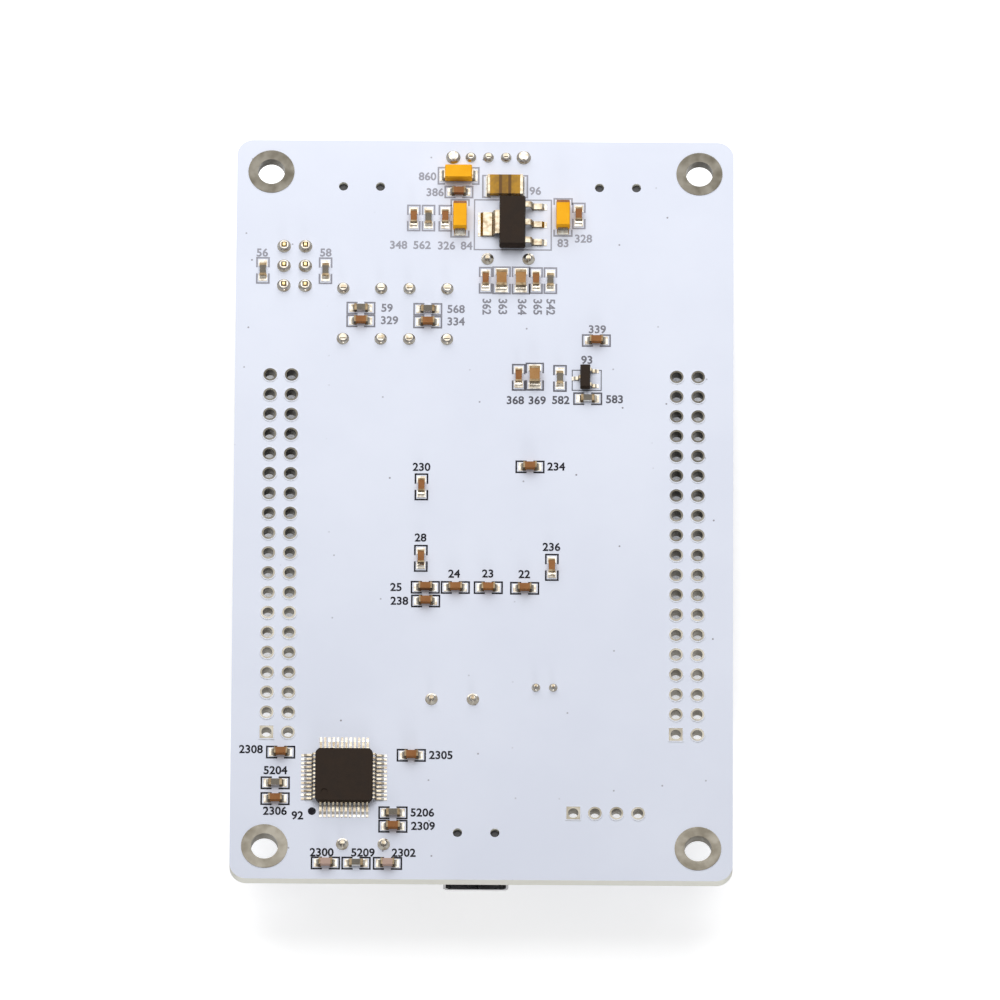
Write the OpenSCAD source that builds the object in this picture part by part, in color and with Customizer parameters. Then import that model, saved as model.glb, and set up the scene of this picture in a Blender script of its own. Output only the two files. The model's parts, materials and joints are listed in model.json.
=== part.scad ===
// Microcontroller development board, lying on its component side.
// Origin: middle of the board's outline, on the surface that the board lies on.
// +Z points out of the board's solder side, +Y to the edge with two sockets and the power switch.

/* [Board] */
// Width of the board
board_w = 59.2; // [58:0.1:80]
// Length of the board
board_l = 94.6; // [93:0.1:120]
// Thickness of the board
board_t = 1.6; // [0.8:0.1:2.4]
// Radius of the board's corners
corner_r = 2; // [0.5:0.1:4]

/* [Mounting holes] */
// Diameter of a mounting hole
mount_hole_d = 3.2; // [2.2:0.1:4.2]
// Diameter of the bare land round a mounting hole
mount_land_d = 5.5; // [5:0.1:6.5]
// Distance of a mounting hole from the two edges beside it
mount_edge = 4.1; // [3.8:0.1:5]

/* [Header holes] */
// Pitch of the header holes and of the boot pins
pitch = 2.54; // [2:0.01:2.6]
// Rows of holes in each long header
header_rows = 19; // [2:1:20]
// Distance between the middles of the two long headers
header_spacing = 48.26; // [46:0.01:50]
// Distance from the middle of the long headers to the board's middle
header_drop = 5.9; // [4:0.1:7]
// Diameter of a header hole, inside its plating
header_hole_d = 1.2; // [1:0.05:1.3]
// Diameter of the land round a header hole
header_land_d = 1.8; // [1.6:0.05:1.9]
// Holes in the probe header
probe_holes = 4; // [2:1:5]
// Thickness of the plating on a land and in a hole
plating_t = 0.05; // [0.03:0.01:0.1]

/* [Solder] */
// Thickness of a soldered pad under a surface part
pad_t = 0.05; // [0.03:0.01:0.1]
// Clearance round a lead in its plated hole
lead_gap = 0.1; // [0.05:0.01:0.25]
// Width of the land round a plated lead hole
land_ring = 0.25; // [0.15:0.01:0.5]
// Width of the land round a crystal's lead
crystal_land_ring = 0.42; // [0.3:0.01:0.5]
// Height of a solder cone on the solder side
cone_h = 0.55; // [0.4:0.05:1.2]
// Length of a lead beyond its solder cone
lead_out = 0.2; // [0.1:0.05:0.6]

/* [Chip parts] */
// Length, width and height of a small ceramic capacitor
cap_l = 1.6; // [1.4:0.05:1.8]
cap_w = 0.8; // [0.6:0.05:1]
cap_h = 0.8; // [0.4:0.05:1]
// Length, width and height of a large ceramic capacitor
big_cap_l = 2.0; // [1.8:0.05:2.2]
big_cap_w = 1.25; // [1:0.05:1.4]
big_cap_h = 1.0; // [0.6:0.05:1.3]
// Length, width and height of a chip resistor
res_l = 1.6; // [1.4:0.05:1.8]
res_w = 0.8; // [0.6:0.05:1]
res_h = 0.45; // [0.35:0.05:0.6]
// Length of the metal band at each end of a capacitor or a lamp
chip_band = 0.2; // [0.15:0.05:0.45]
// Length of the metal band at each end of a chip resistor
res_band = 0.3; // [0.2:0.05:0.45]
// Thickness of the metal at the ends of a chip part
metal_t = 0.03; // [0.02:0.01:0.05]
// Length, width and height of a lamp chip
lamp_l = 2.0; // [1.8:0.05:2.2]
lamp_w = 1.25; // [1:0.05:1.4]
lamp_h = 0.8; // [0.6:0.05:1]

/* [Power parts] */
// Length, width and height of a tantalum capacitor over its straps
tantalum_l = 3.5; // [3:0.05:3.7]
tantalum_w = 1.65; // [1.4:0.05:1.8]
tantalum_h = 1.6; // [1.2:0.05:1.8]
// Width of a tantalum capacitor's strap
strap_w = 1.2; // [0.8:0.05:1.4]
// Thickness of a tantalum capacitor's strap
strap_t = 0.12; // [0.08:0.01:0.2]
// Length, width and height of the resettable fuse
fuse_l = 4.2; // [4:0.05:5]
fuse_w = 2.5; // [2.2:0.05:2.7]
fuse_h = 0.8; // [0.5:0.05:1]
// Length of the metal band at each end of the fuse
fuse_band = 0.3; // [0.25:0.05:1]
// Size of the regulator's body across its leads, along them and in height
regulator_w = 3.1; // [2.9:0.05:3.7]
regulator_l = 6.3; // [6.2:0.05:6.7]
regulator_h = 1.6; // [1.4:0.05:1.8]
// Width of the regulator's wide tab
regulator_tab_w = 3.0; // [2.6:0.05:3.2]
// Size of the transistor's body across its leads, along them and in height
transistor_w = 1.2; // [1.1:0.05:1.5]
transistor_l = 3.0; // [2.7:0.05:3.2]
transistor_h = 1.0; // [0.8:0.05:1.2]

/* [Flat packs] */
// Side of the probe controller's body
probe_chip_w = 6.8; // [6.8:0.1:7.2]
// Pins on each side of the probe controller
probe_chip_pins = 12; // [4:1:12]
// Side of the main controller's body
main_chip_w = 14; // [13.4:0.1:14.4]
// Pins on each side of the main controller
main_chip_pins = 25; // [8:1:25]
// Height of a flat pack's body
flat_pack_h = 1.0; // [0.9:0.1:1.8]
// Pitch of the flat packs' pins
fine_pitch = 0.5; // [0.45:0.01:0.55]
// Width of a flat pack's pin
fine_pin_w = 0.22; // [0.15:0.01:0.27]
// Thickness of a flat pack's pin
fine_pin_t = 0.14; // [0.1:0.01:0.2]
// Width and length of the serial bridge's body
bridge_w = 3.9; // [3.7:0.05:4.1]
bridge_l = 9.9; // [9.6:0.05:10.1]

/* [Sockets] */
// Width, height and length of a socket's shell
socket_w = 7.7; // [7.3:0.05:8]
socket_h = 3.95; // [3.7:0.05:4.3]
socket_l = 9.2; // [8.8:0.05:9.6]
// Wall of a socket's shell
socket_wall = 0.3; // [0.2:0.02:0.4]
// Distance from a socket's pegs to its mouth
peg_to_mouth = 5.1; // [4.8:0.05:5.4]
// Distance from a socket's mouth back to the board's edge
mouth_inset = 0.85; // [0.3:0.05:1.2]
// Distance between a socket's two pegs
peg_spacing = 4.4; // [4.2:0.05:4.6]
// Diameter of a peg
peg_d = 0.9; // [0.7:0.05:1]
// Radial clearance of a peg in the board
peg_gap = 0.1; // [0.05:0.01:0.15]
// Pitch of a socket's contacts
contact_pitch = 0.8; // [0.65:0.05:0.85]
// Width of a socket's contact
contact_w = 0.35; // [0.2:0.05:0.45]

/* [Crystals] */
// Length, width and height of a crystal's can over its flange
crystal_l = 11.05; // [10.6:0.05:11.4]
crystal_w = 4.65; // [4.4:0.05:4.8]
crystal_h = 3.5; // [3:0.1:4.5]
// Width of the flange round a crystal's can
crystal_flange = 0.4; // [0.3:0.05:0.6]
// Distance between a crystal's leads
crystal_lead_spacing = 4.88; // [4.6:0.01:5.1]
// Diameter of a crystal's lead
crystal_lead_d = 0.43; // [0.35:0.01:0.55]
// Diameter and length of the clock crystal's can
clock_d = 2.1; // [1.8:0.05:3]
clock_l = 6.2; // [5.5:0.1:8]
// Distance between the clock crystal's leads in the board
clock_lead_spacing = 2.04; // [1.8:0.02:2.4]
// Diameter of the clock crystal's lead
clock_lead_d = 0.3; // [0.2:0.01:0.4]

/* [Buttons] */
// Side of a push button's housing
button_w = 6; // [5.6:0.1:6.2]
// Height of a push button's housing with its cover
button_h = 3.4; // [3.2:0.05:4]
// Height of a plunger's top above the board
plunger_top = 5; // [4.3:0.1:8]
// Diameter of a plunger
plunger_d = 3.5; // [3:0.05:3.6]
// Radial clearance of a plunger in its cover
plunger_gap = 0.1; // [0.05:0.01:0.2]
// Travel of a plunger
plunger_travel = 0.25; // [0.1:0.01:0.3]
// Distance between the two legs on one side of a button
button_leg_spacing = 4.5; // [4.3:0.05:4.7]
// Width and thickness of a button's leg
button_leg_w = 0.7; // [0.5:0.05:0.8]
button_leg_t = 0.3; // [0.2:0.02:0.35]

/* [Power switch] */
// Length, width and height of the power switch's frame
switch_l = 8.7; // [8.5:0.05:9]
switch_w = 4.0; // [3.7:0.05:4.1]
switch_h = 3.5; // [3.2:0.05:4.2]
// Sheet thickness of the frame
switch_wall = 0.3; // [0.2:0.02:0.35]
// Pitch of the switch's three pins, and the slider's travel
switch_pitch = 2.1; // [1.9:0.05:2.2]
// Height of the slider's knob above the board
knob_top = 8; // [5:0.1:8.4]
// Side of the slider's knob
knob_w = 1.5; // [1.2:0.05:1.7]
// Clearance round the slider and its knob
slide_gap = 0.1; // [0.05:0.01:0.15]

/* [Boot pins] */
// Height of a boot pin's tip above the board
boot_pin_top = 8.5; // [8.4:0.1:11.5]
// Side of a boot pin
boot_pin_w = 0.64; // [0.5:0.01:0.7]
// Height of the boot pins' insulator
boot_insulator_h = 2.5; // [1.5:0.1:3]

/* [Hidden] */
$fn = 32;

// Sides of the board that a part can sit on
SOLDER_SIDE = 1;
PARTS_SIDE = -1;

// The board lies on whichever of its parts stands out furthest
z_front = max(boot_pin_top, knob_top, plunger_top, socket_h, crystal_h);
z_back = z_front + board_t;
cut = 1;

// Distances from the board's two short edges, as places along Y
function from_top(distance) = board_l / 2 - distance;
function from_bottom(distance) = distance - board_l / 2;

// Places of the parts: [x, y, turn, side]
socket_inset = peg_to_mouth + mouth_inset;
left_socket_spot = [-14.7, from_top(socket_inset), 180, PARTS_SIDE];
right_socket_spot = [15.8, from_top(socket_inset), 180, PARTS_SIDE];
probe_socket_spot = [-0.6, from_bottom(socket_inset), 0, PARTS_SIDE];
socket_spots = [left_socket_spot, right_socket_spot, probe_socket_spot];
switch_spot = [0.35, from_top(2.1), 0, PARTS_SIDE];
left_button_spot = [-14.57, from_top(22.4), 0, PARTS_SIDE];
right_button_spot = [-6.7, from_top(22.4), 0, PARTS_SIDE];
button_spots = [left_button_spot, right_button_spot];
boot_header_spot = [-22.63, from_top(16.3), 0, PARTS_SIDE];
serial_crystal_spot = [2.75, from_top(15.25), 0, PARTS_SIDE];
main_crystal_spot = [-3.53, -24.45, 0, PARTS_SIDE];
probe_crystal_spot = [-13.9, from_bottom(4.4), 0, PARTS_SIDE];
crystal_spots = [serial_crystal_spot, main_crystal_spot, probe_crystal_spot];
clock_crystal_spot = [7.36, -22.9, 0, PARTS_SIDE];
bridge_spot = [0.9, from_top(8.8), 90, PARTS_SIDE];
main_chip_spot = [0.4, -2.5, 0, PARTS_SIDE];
probe_chip_spot = [-16.2, from_bottom(12.85), 0, SOLDER_SIDE];
regulator_spot = [3.25, from_top(10.82), 0, SOLDER_SIDE];
fuse_spot = [2.35, from_top(5.85), 0, SOLDER_SIDE];
transistor_spot = [12.0, 16.67, 0, SOLDER_SIDE];
probe_header_spot = [14.63, from_bottom(8.5), 0, SOLDER_SIDE];

tantalum_spots = [
    [-3.2, from_top(4.5), 0, SOLDER_SIDE],
    [-3.0, from_top(10.0), 90, SOLDER_SIDE],
    [9.27, from_top(9.8), 90, SOLDER_SIDE],
];

// Decoupling capacitors at the main controller's supply pins
decoupling_spots = [
    [-7.35, 2.65, 90, SOLDER_SIDE], [-7.35, -6.5, 90, SOLDER_SIDE], [8.15, -7.55, 90, SOLDER_SIDE],
    [5.5, 5.3, 0, SOLDER_SIDE], [-6.8, -10.2, 0, SOLDER_SIDE], [-6.75, -11.95, 0, SOLDER_SIDE],
    [-3.25, -10.2, 0, SOLDER_SIDE], [0.65, -10.2, 0, SOLDER_SIDE], [4.95, -10.25, 0, SOLDER_SIDE],
];
// Filter capacitors of the supply, the buttons and the transistor
supply_cap_spots = [
    [-3.15, from_top(6.6), 0, SOLDER_SIDE], [-8.5, from_top(10), 90, SOLDER_SIDE],
    [-4.75, from_top(10), 90, SOLDER_SIDE], [11.15, from_top(9.6), 90, SOLDER_SIDE],
    [0.1, from_top(18), 90, SOLDER_SIDE], [6.1, from_top(18), 90, SOLDER_SIDE],
    [-14.7, from_top(23.35), 0, SOLDER_SIDE], [-6.75, from_top(23.45), 0, SOLDER_SIDE],
    [13.3, 21.6, 0, SOLDER_SIDE], [4.1, 16.8, 90, SOLDER_SIDE],
];
// Capacitors round the probe controller
probe_cap_spots = [
    [-23.7, from_bottom(16), 0, SOLDER_SIDE], [-24.3, from_bottom(10.1), 0, SOLDER_SIDE],
    [-8.3, from_bottom(15.7), 0, SOLDER_SIDE], [-10.4, from_bottom(6.7), 0, SOLDER_SIDE],
    [-18.3, from_bottom(2), 0, SOLDER_SIDE], [-11.0, from_bottom(2), 0, SOLDER_SIDE],
];
// A place beside another one, on the same side of the board
function beside(spot, x, y, turn) = [spot[0] + x, spot[1] + y, turn, spot[3]];

// Load capacitors beside the crystals on the parts side
load_cap_x = 3.4;
load_cap_y = 5;
clock_cap_x = 3.2;
load_cap_spots = [
    for (side = [-1, 1]) beside(serial_crystal_spot, side * load_cap_x, -load_cap_y, 0),
    for (side = [-1, 1]) beside(main_crystal_spot, side * load_cap_x, load_cap_y, 0),
    for (side = [-1, 1]) beside(clock_crystal_spot, side * clock_cap_x, 0, 90),
];
small_cap_spots = concat(decoupling_spots, supply_cap_spots, probe_cap_spots, load_cap_spots);
large_cap_spots = [
    [2.0, from_top(18), 90, SOLDER_SIDE], [4.3, from_top(18), 90, SOLDER_SIDE],
    [6.0, 16.9, 90, SOLDER_SIDE],
];
first_lamp_spot = [13.5, 24, 90, PARTS_SIDE];
lamp_spacing = 3.5;
lamp_resistor_drop = 4;
lamp_spots = [for (i = [0 : 2]) beside(first_lamp_spot, lamp_spacing * i, 0, 90)];
resistor_spots = concat([
    [-6.75, from_top(10), 90, SOLDER_SIDE], [7.8, from_top(18), 90, SOLDER_SIDE],
    [-26.4, from_top(16.9), 90, SOLDER_SIDE], [-18.95, from_top(16.9), 90, SOLDER_SIDE],
    [-14.7, from_top(21.7), 0, SOLDER_SIDE], [-6.75, from_top(21.8), 0, SOLDER_SIDE],
    [9.0, 16.7, 90, SOLDER_SIDE], [12.3, 14.1, 0, SOLDER_SIDE],
    [-24.3, from_bottom(12.1), 0, SOLDER_SIDE], [-10.4, from_bottom(8.4), 0, SOLDER_SIDE],
    [-14.7, from_bottom(2), 0, SOLDER_SIDE],
], [for (spot = lamp_spots) beside(spot, 0, -lamp_resistor_drop, 90)]);

small_cap_size = [cap_l, cap_w, cap_h];
large_cap_size = [big_cap_l, big_cap_w, big_cap_h];
resistor_size = [res_l, res_w, res_h];
lamp_size = [lamp_l, lamp_w, lamp_h];
tantalum_size = [tantalum_l, tantalum_w, tantalum_h];
fuse_size = [fuse_l, fuse_w, fuse_h];

// Solder fillets at the ends of surface parts
fillet_steps = 4;
fillet_reach = 0.55;
fillet_under = 0.3;
tantalum_fillet_reach = 0.5;
fuse_fillet_reach = 0.2;
// How far a soldered pad stands out past each side of its part
fillet_side = 0.1;
// How far up a part's end its fillet climbs, as a share of the part's height
cap_climb = 0.55;
big_cap_climb = 0.5;
res_climb = 0.7;
lamp_climb = 0.3;
tantalum_climb = 0.4;
fuse_climb = 0.6;
// Width of the solder left round a lead at the top of its cone
cone_rim = 0.07;

// Chip parts and tantalum capacitors
big_chip_band = chip_band + 0.1;
resistor_coat_t = 0.04;
lamp_base_h = 0.3;
lamp_step = 0.1;
tantalum_foot = 0.8;
tantalum_draft = 0.06;
tantalum_bevel = 0.12;
strap_bite = 0.3;

// Moulded bodies and their gull-wing leads
bend_steps = 3;
body_draft = 0.12;
stand_off = 0.08;
toe_solder = 0.35;
toe_climb = 0.9;
pad_side = 0.03;
parting_band = 0.02;
flat_pack_corner = 0.55;
index_dimple_d = 0.9;
index_dimple_depth = 0.08;
index_dimple_inset = 1.1;
// Leads: [reach, foot, width, thickness, bend radius], and how far their pads run out past them
fine_lead = [1.0, 0.5, fine_pin_w, fine_pin_t, 0.18];
fine_pad_out = 0.65;
bridge_h = 1.5;
bridge_pins = 8;
bridge_pitch = 1.27;
bridge_lead = [1.05, 0.5, 0.42, 0.2, 0.2];
bridge_pad_out = 0.5;
power_lead = [1.95, 0.85, 0.72, 0.26, 0.35];
tab_lead = [1.95, 0.95, regulator_tab_w, 0.26, 0.35];
regulator_pitch = 2.3;
regulator_pad_out = 0.6;
transistor_lead = [0.55, 0.25, 0.42, 0.12, 0.1];
transistor_pitch = 1.9;
transistor_pad_out = 0.45;

// Sockets
socket_pinch = 0.8;
socket_pinch_h = 1.25;
socket_top_bevel = 0.35;
insulator_back = socket_l - peg_to_mouth;
insulator_front = 0.7;
insulator_fit = 0.03;
tongue_w = 4.4;
tongue_h = 0.9;
tongue_z = 2.15;
tongue_back = 1.5;
peg_depth = 1.1;
contact_t = 0.15;
contact_tail = 0.75;
contact_short = 0.3;
foot_w = 1.9;
foot_out = 1.7;
front_foot_y = 1.9;
rear_foot_y = -2.9;
latch_w = 1.0;
latch_l = 2.4;
latch_slot = 0.2;
latch_x = 1.9;
latch_front = 1.1;

// Crystals
can_round = 0.7;
flange_h = 0.4;
clock_z = clock_d / 2;
clock_seal_r = clock_d / 2 - 0.1;
clock_lead_start = 0.35;
clock_lead_run = 1.1;
clock_shoulder = 0.3;

// Buttons
button_side_t = 0.3;
button_side_h = 1.6;
button_cover_t = 0.3;
cover_z = button_h - button_cover_t;
button_well_d = 4.7;
button_floor = 1.2;
post_d = 0.9;
post_at = 2.2;
post_out = 0.15;
dome_d = 4.0;
dome_left = 0.2;
dome_rise = plunger_travel + dome_left;
dome_t = 0.08;
dome_steps = 5;
play = 0.02;
plunger_flange_out = 0.4;
flange_d = plunger_d + 2 * plunger_flange_out;
flange_t = 0.55;
nub_d = 1.3;
plunger_bevel = 0.15;
button_leg_gap = 0.1;
button_leg_y = button_w / 2 + button_leg_gap + button_leg_t / 2;
button_leg_z = 0.85;
button_leg_bite = 0.8;

// Power switch
switch_base_h = 1.0;
switch_pin_w = 0.5;
switch_pin_t = 0.25;
switch_leg_w = 0.95;
terminal_head_w = 1.3;
terminal_head_t = 0.2;
slider_l = 4.4;
slider_h = 1.1;
slider_play = 0.05;
bridge_plate_w = 1.2;
bridge_plate_t = 0.12;
bridge_foot = 0.5;
switch_base_fit = 0.02;
switch_leg_x = (switch_l - switch_wall) / 2;
inner_l = switch_l - 2 * switch_wall;
inner_w = switch_w - 2 * switch_wall;
slider_z1 = switch_h - switch_wall - slider_play;
slider_z0 = slider_z1 - slider_h;
slider_x = -switch_pitch / 2;
slot_l = switch_pitch + knob_w + 2 * slide_gap;

// Boot pins
boot_rows = 3;
boot_columns = 2;
boot_corner = 0.45;
pin_tip = 0.35;

lead_drop = board_t + cone_h + lead_out;
function hole_for(lead) = lead + 2 * lead_gap;
switch_pin_hole = hole_for(norm([switch_pin_w, switch_pin_t]));
switch_leg_hole = hole_for(norm([switch_leg_w, switch_wall]));
button_leg_hole = hole_for(norm([button_leg_w, button_leg_t]));
boot_pin_hole = hole_for(norm([boot_pin_w, boot_pin_w]));
crystal_hole = hole_for(crystal_lead_d);
clock_hole = hole_for(clock_lead_d);

// ---------- placing ----------

// Puts a part on its place, with its own +Z pointing away from the board
module at(spot) {
    if (spot[3] == SOLDER_SIDE) translate([spot[0], spot[1], z_back]) rotate(spot[2]) children();
    else translate([spot[0], spot[1], z_front]) rotate([180, 0, spot[2]]) children();
}

module at_each(spots) for (spot = spots) at(spot) children();

// Extrudes a side profile, drawn as x and height, across a width along Y
module across(width) rotate([90, 0, 0]) linear_extrude(width, center = true) children();

// Extrudes a front profile, drawn as y and height, across a width along X
module along(width) rotate([90, 0, 90]) linear_extrude(width, center = true) children();

module block(x, y, z0, z1) translate([0, 0, (z0 + z1) / 2]) cube([x, y, z1 - z0], center = true);

// ---------- board ----------

function grid(columns, rows, step) = [
    for (i = [0 : columns - 1], j = [0 : rows - 1])
        [(i - (columns - 1) / 2) * step, (j - (rows - 1) / 2) * step]
];
left_header_at = [-header_spacing / 2, -header_drop];
right_header_at = [header_spacing / 2, -header_drop];
long_header_grid = grid(2, header_rows, pitch);
probe_header_grid = grid(probe_holes, 1, pitch);
switch_pin_grid = grid(3, 1, switch_pitch);
switch_leg_grid = grid(2, 1, 2 * switch_leg_x);
button_leg_grid = [
    for (x = [-1, 1], y = [-1, 1]) [x * button_leg_spacing / 2, y * button_leg_y]
];
boot_grid = grid(boot_columns, boot_rows, pitch);
crystal_grid = grid(2, 1, crystal_lead_spacing);
clock_grid = grid(2, 1, clock_lead_spacing);
mount_grid = [
    for (x = [-1, 1], y = [-1, 1]) [x * (board_w / 2 - mount_edge), y * (board_l / 2 - mount_edge)]
];

module holes(points, diameter) for (point = points) translate(point) circle(d = diameter);

// The lead holes of a part, drawn on the board's plane
module part_holes(spot, points, diameter) translate([spot[0], spot[1]]) holes(points, diameter);

module board_outline() {
    square([board_w - 2 * corner_r, board_l], center = true);
    square([board_w, board_l - 2 * corner_r], center = true);
    for (x = [-1, 1], y = [-1, 1])
        translate([x * (board_w / 2 - corner_r), y * (board_l / 2 - corner_r)]) circle(r = corner_r);
}

module board_holes() {
    plated = header_hole_d + 2 * plating_t;
    holes(mount_grid, mount_hole_d + 2 * plating_t);
    translate(left_header_at) holes(long_header_grid, plated);
    translate(right_header_at) holes(long_header_grid, plated);
    part_holes(probe_header_spot, probe_header_grid, plated);
    part_holes(switch_spot, switch_pin_grid, switch_pin_hole);
    part_holes(switch_spot, switch_leg_grid, switch_leg_hole);
    part_holes(boot_header_spot, boot_grid, boot_pin_hole);
    part_holes(clock_crystal_spot, clock_grid, clock_hole);
    for (spot = button_spots) part_holes(spot, button_leg_grid, button_leg_hole);
    for (spot = crystal_spots) part_holes(spot, crystal_grid, crystal_hole);
    for (spot = socket_spots) part_holes(spot, grid(2, 1, peg_spacing), peg_d + 2 * peg_gap);
}

module circuit_board() color([0.93, 0.94, 0.97])
    translate([0, 0, z_front]) linear_extrude(board_t)
        difference() {
            board_outline();
            board_holes();
        }

// ---------- lands and solder ----------

// A plated hole: a tube through the board with a flat land on each face
module plated_hole(hole_d, land_d, square_land = false) difference() {
    union() {
        translate([0, 0, z_front]) cylinder(d = hole_d + 2 * plating_t, h = board_t);
        for (z = [z_front - plating_t, z_back]) translate([0, 0, z])
            if (square_land) linear_extrude(plating_t) square(land_d, center = true);
            else cylinder(d = land_d, h = plating_t);
    }
    translate([0, 0, z_front - cut]) cylinder(d = hole_d, h = board_t + 2 * cut);
}

// The lands of a header, whose first hole has a square land
module header_lands(points, first) color([0.58, 0.55, 0.5])
    for (i = [0 : len(points) - 1]) translate(points[i])
        plated_hole(header_hole_d, header_land_d, square_land = i == first);

module mounting_hole_lands() color([0.58, 0.55, 0.5])
    for (point = mount_grid) translate(point) plated_hole(mount_hole_d, mount_land_d);

module left_header_lands() translate(left_header_at) header_lands(long_header_grid, 0);

module right_header_lands() translate(right_header_at) header_lands(long_header_grid, 0);

module probe_header_lands()
    translate([probe_header_spot[0], probe_header_spot[1]]) header_lands(probe_header_grid, 0);

// Solder that fills a plated hole and rises in a concave cone round the lead, which is the child
module solder_joint(hole_d, ring = land_ring) {
    land_r = hole_d / 2 + ring;
    top_r = hole_d / 2 - lead_gap + cone_rim;
    slope = [for (i = [0 : fillet_steps]) let (rise = i / fillet_steps)
        [top_r + (land_r - top_r) * pow(1 - rise, 2), board_t + plating_t + cone_h * pow(rise, 1.3)]];
    difference() {
        rotate_extrude() polygon(concat(
            [[0, 0], [hole_d / 2, 0], [hole_d / 2, board_t], [land_r, board_t]],
            slope, [[0, board_t + plating_t + cone_h]]));
        children();
    }
}

module flat_lead(w, t) translate([0, 0, board_t / 2]) cube([w, t, 4 * lead_drop], center = true);

module round_lead(d) translate([0, 0, -2 * lead_drop]) cylinder(d = d, h = 5 * lead_drop);

module joints_at(spot, points) for (point = points)
    translate([spot[0] + point[0], spot[1] + point[1], z_front]) children();

module solder_joints() color([0.72, 0.72, 0.7]) {
    joints_at(switch_spot, switch_pin_grid)
        solder_joint(switch_pin_hole) flat_lead(switch_pin_w, switch_pin_t);
    joints_at(switch_spot, switch_leg_grid)
        solder_joint(switch_leg_hole) flat_lead(switch_wall, switch_leg_w);
    joints_at(boot_header_spot, boot_grid)
        solder_joint(boot_pin_hole) flat_lead(boot_pin_w, boot_pin_w);
    for (spot = button_spots) joints_at(spot, button_leg_grid)
        solder_joint(button_leg_hole) flat_lead(button_leg_w, button_leg_t);
    for (spot = crystal_spots) joints_at(spot, crystal_grid)
        solder_joint(crystal_hole, crystal_land_ring) round_lead(crystal_lead_d);
    joints_at(clock_crystal_spot, clock_grid) solder_joint(clock_hole) round_lead(clock_lead_d);
}

// A pad with a concave fillet that climbs the end of a surface part at x = 0
module end_fillet(width, height, reach) {
    translate([(reach - fillet_under) / 2, 0, 0])
        block(reach + fillet_under, width + 2 * fillet_side, 0, pad_t);
    across(width) polygon(concat([[0, 0], [reach, 0]],
        [for (i = [0 : fillet_steps]) let (rise = i / fillet_steps)
            [reach * pow(1 - rise, 2), pad_t + (height - pad_t) * pow(rise, 2)]]));
}

module end_fillets(size, width, climb, reach) for (turn = [0, 180])
    rotate(turn) translate([size[0] / 2, 0, 0]) end_fillet(width, pad_t + size[2] * climb, reach);

module surface_solder() color([0.8, 0.8, 0.77]) {
    at_each(small_cap_spots) end_fillets(small_cap_size, cap_w, cap_climb, fillet_reach);
    at_each(large_cap_spots) end_fillets(large_cap_size, big_cap_w, big_cap_climb, fillet_reach);
    at_each(resistor_spots) end_fillets(resistor_size, res_w, res_climb, fillet_reach);
    at_each(lamp_spots) end_fillets(lamp_size, lamp_w, lamp_climb, fillet_reach);
    at_each(tantalum_spots) end_fillets(tantalum_size, strap_w, tantalum_climb, tantalum_fillet_reach);
    at(fuse_spot) end_fillets(fuse_size, fuse_w, fuse_climb, fuse_fillet_reach);
}

// ---------- chip parts ----------

// The ceramic core of a chip part, whose size is taken over its metal ends
module chip_core(size) block(size[0] - 2 * metal_t, size[1] - 2 * metal_t,
                             pad_t + metal_t, pad_t + size[2] - metal_t);

// Metal caps over both ends of a chip part
module chip_caps(size, band) difference() {
    for (side = [-1, 1]) translate([side * (size[0] - band) / 2, 0, 0])
        block(band, size[1], pad_t, pad_t + size[2]);
    chip_core(size);
}

module small_capacitor_bodies() color([0.66, 0.4, 0.18])
    at_each(small_cap_spots) chip_core(small_cap_size);

module small_capacitor_terminals() color([0.85, 0.84, 0.8])
    at_each(small_cap_spots) chip_caps(small_cap_size, chip_band);

module large_capacitor_bodies() color([0.72, 0.53, 0.33])
    at_each(large_cap_spots) chip_core(large_cap_size);

module large_capacitor_terminals() color([0.85, 0.84, 0.8])
    at_each(large_cap_spots) chip_caps(large_cap_size, big_chip_band);

module resistor_bodies() color([0.93, 0.92, 0.9]) at_each(resistor_spots) chip_core(resistor_size);

// The dark glass over a resistor's film, between its metal ends
module resistor_coats() color([0.3, 0.32, 0.28]) at_each(resistor_spots)
    block(res_l - 2 * res_band, res_w - 2 * metal_t,
          pad_t + res_h - metal_t, pad_t + res_h - metal_t + resistor_coat_t);

module resistor_terminals() color([0.85, 0.84, 0.8])
    at_each(resistor_spots) chip_caps(resistor_size, res_band);

// A lamp chip: a flat base with a clear block over its middle
module lamp_body() {
    block(lamp_l - 2 * metal_t, lamp_w - 2 * metal_t, pad_t + metal_t, pad_t + lamp_base_h);
    block(lamp_l - 2 * (chip_band + lamp_step), lamp_w - 2 * metal_t, pad_t + metal_t, pad_t + lamp_h);
}

module indicator_lamps() color([0.95, 0.93, 0.8]) at_each(lamp_spots) lamp_body();

module indicator_lamp_terminals() color([0.85, 0.8, 0.6]) at_each(lamp_spots) difference() {
    for (side = [-1, 1]) translate([side * (lamp_l - chip_band) / 2, 0, 0])
        block(chip_band, lamp_w, pad_t, pad_t + lamp_base_h + metal_t);
    lamp_body();
}

// ---------- power parts ----------

// A strap from the middle of a tantalum capacitor's end, folded down and under it
module tantalum_strap() {
    half = tantalum_l / 2;
    middle = pad_t + tantalum_h / 2;
    across(strap_w) polygon([
        [half - strap_t - strap_bite, middle], [half, middle], [half, pad_t],
        [half - tantalum_foot, pad_t], [half - tantalum_foot, pad_t + strap_t],
        [half - strap_t, pad_t + strap_t], [half - strap_t, middle - strap_t],
        [half - strap_t - strap_bite, middle - strap_t],
    ]);
}

module tantalum_straps() for (turn = [0, 180]) rotate(turn) tantalum_strap();

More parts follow.
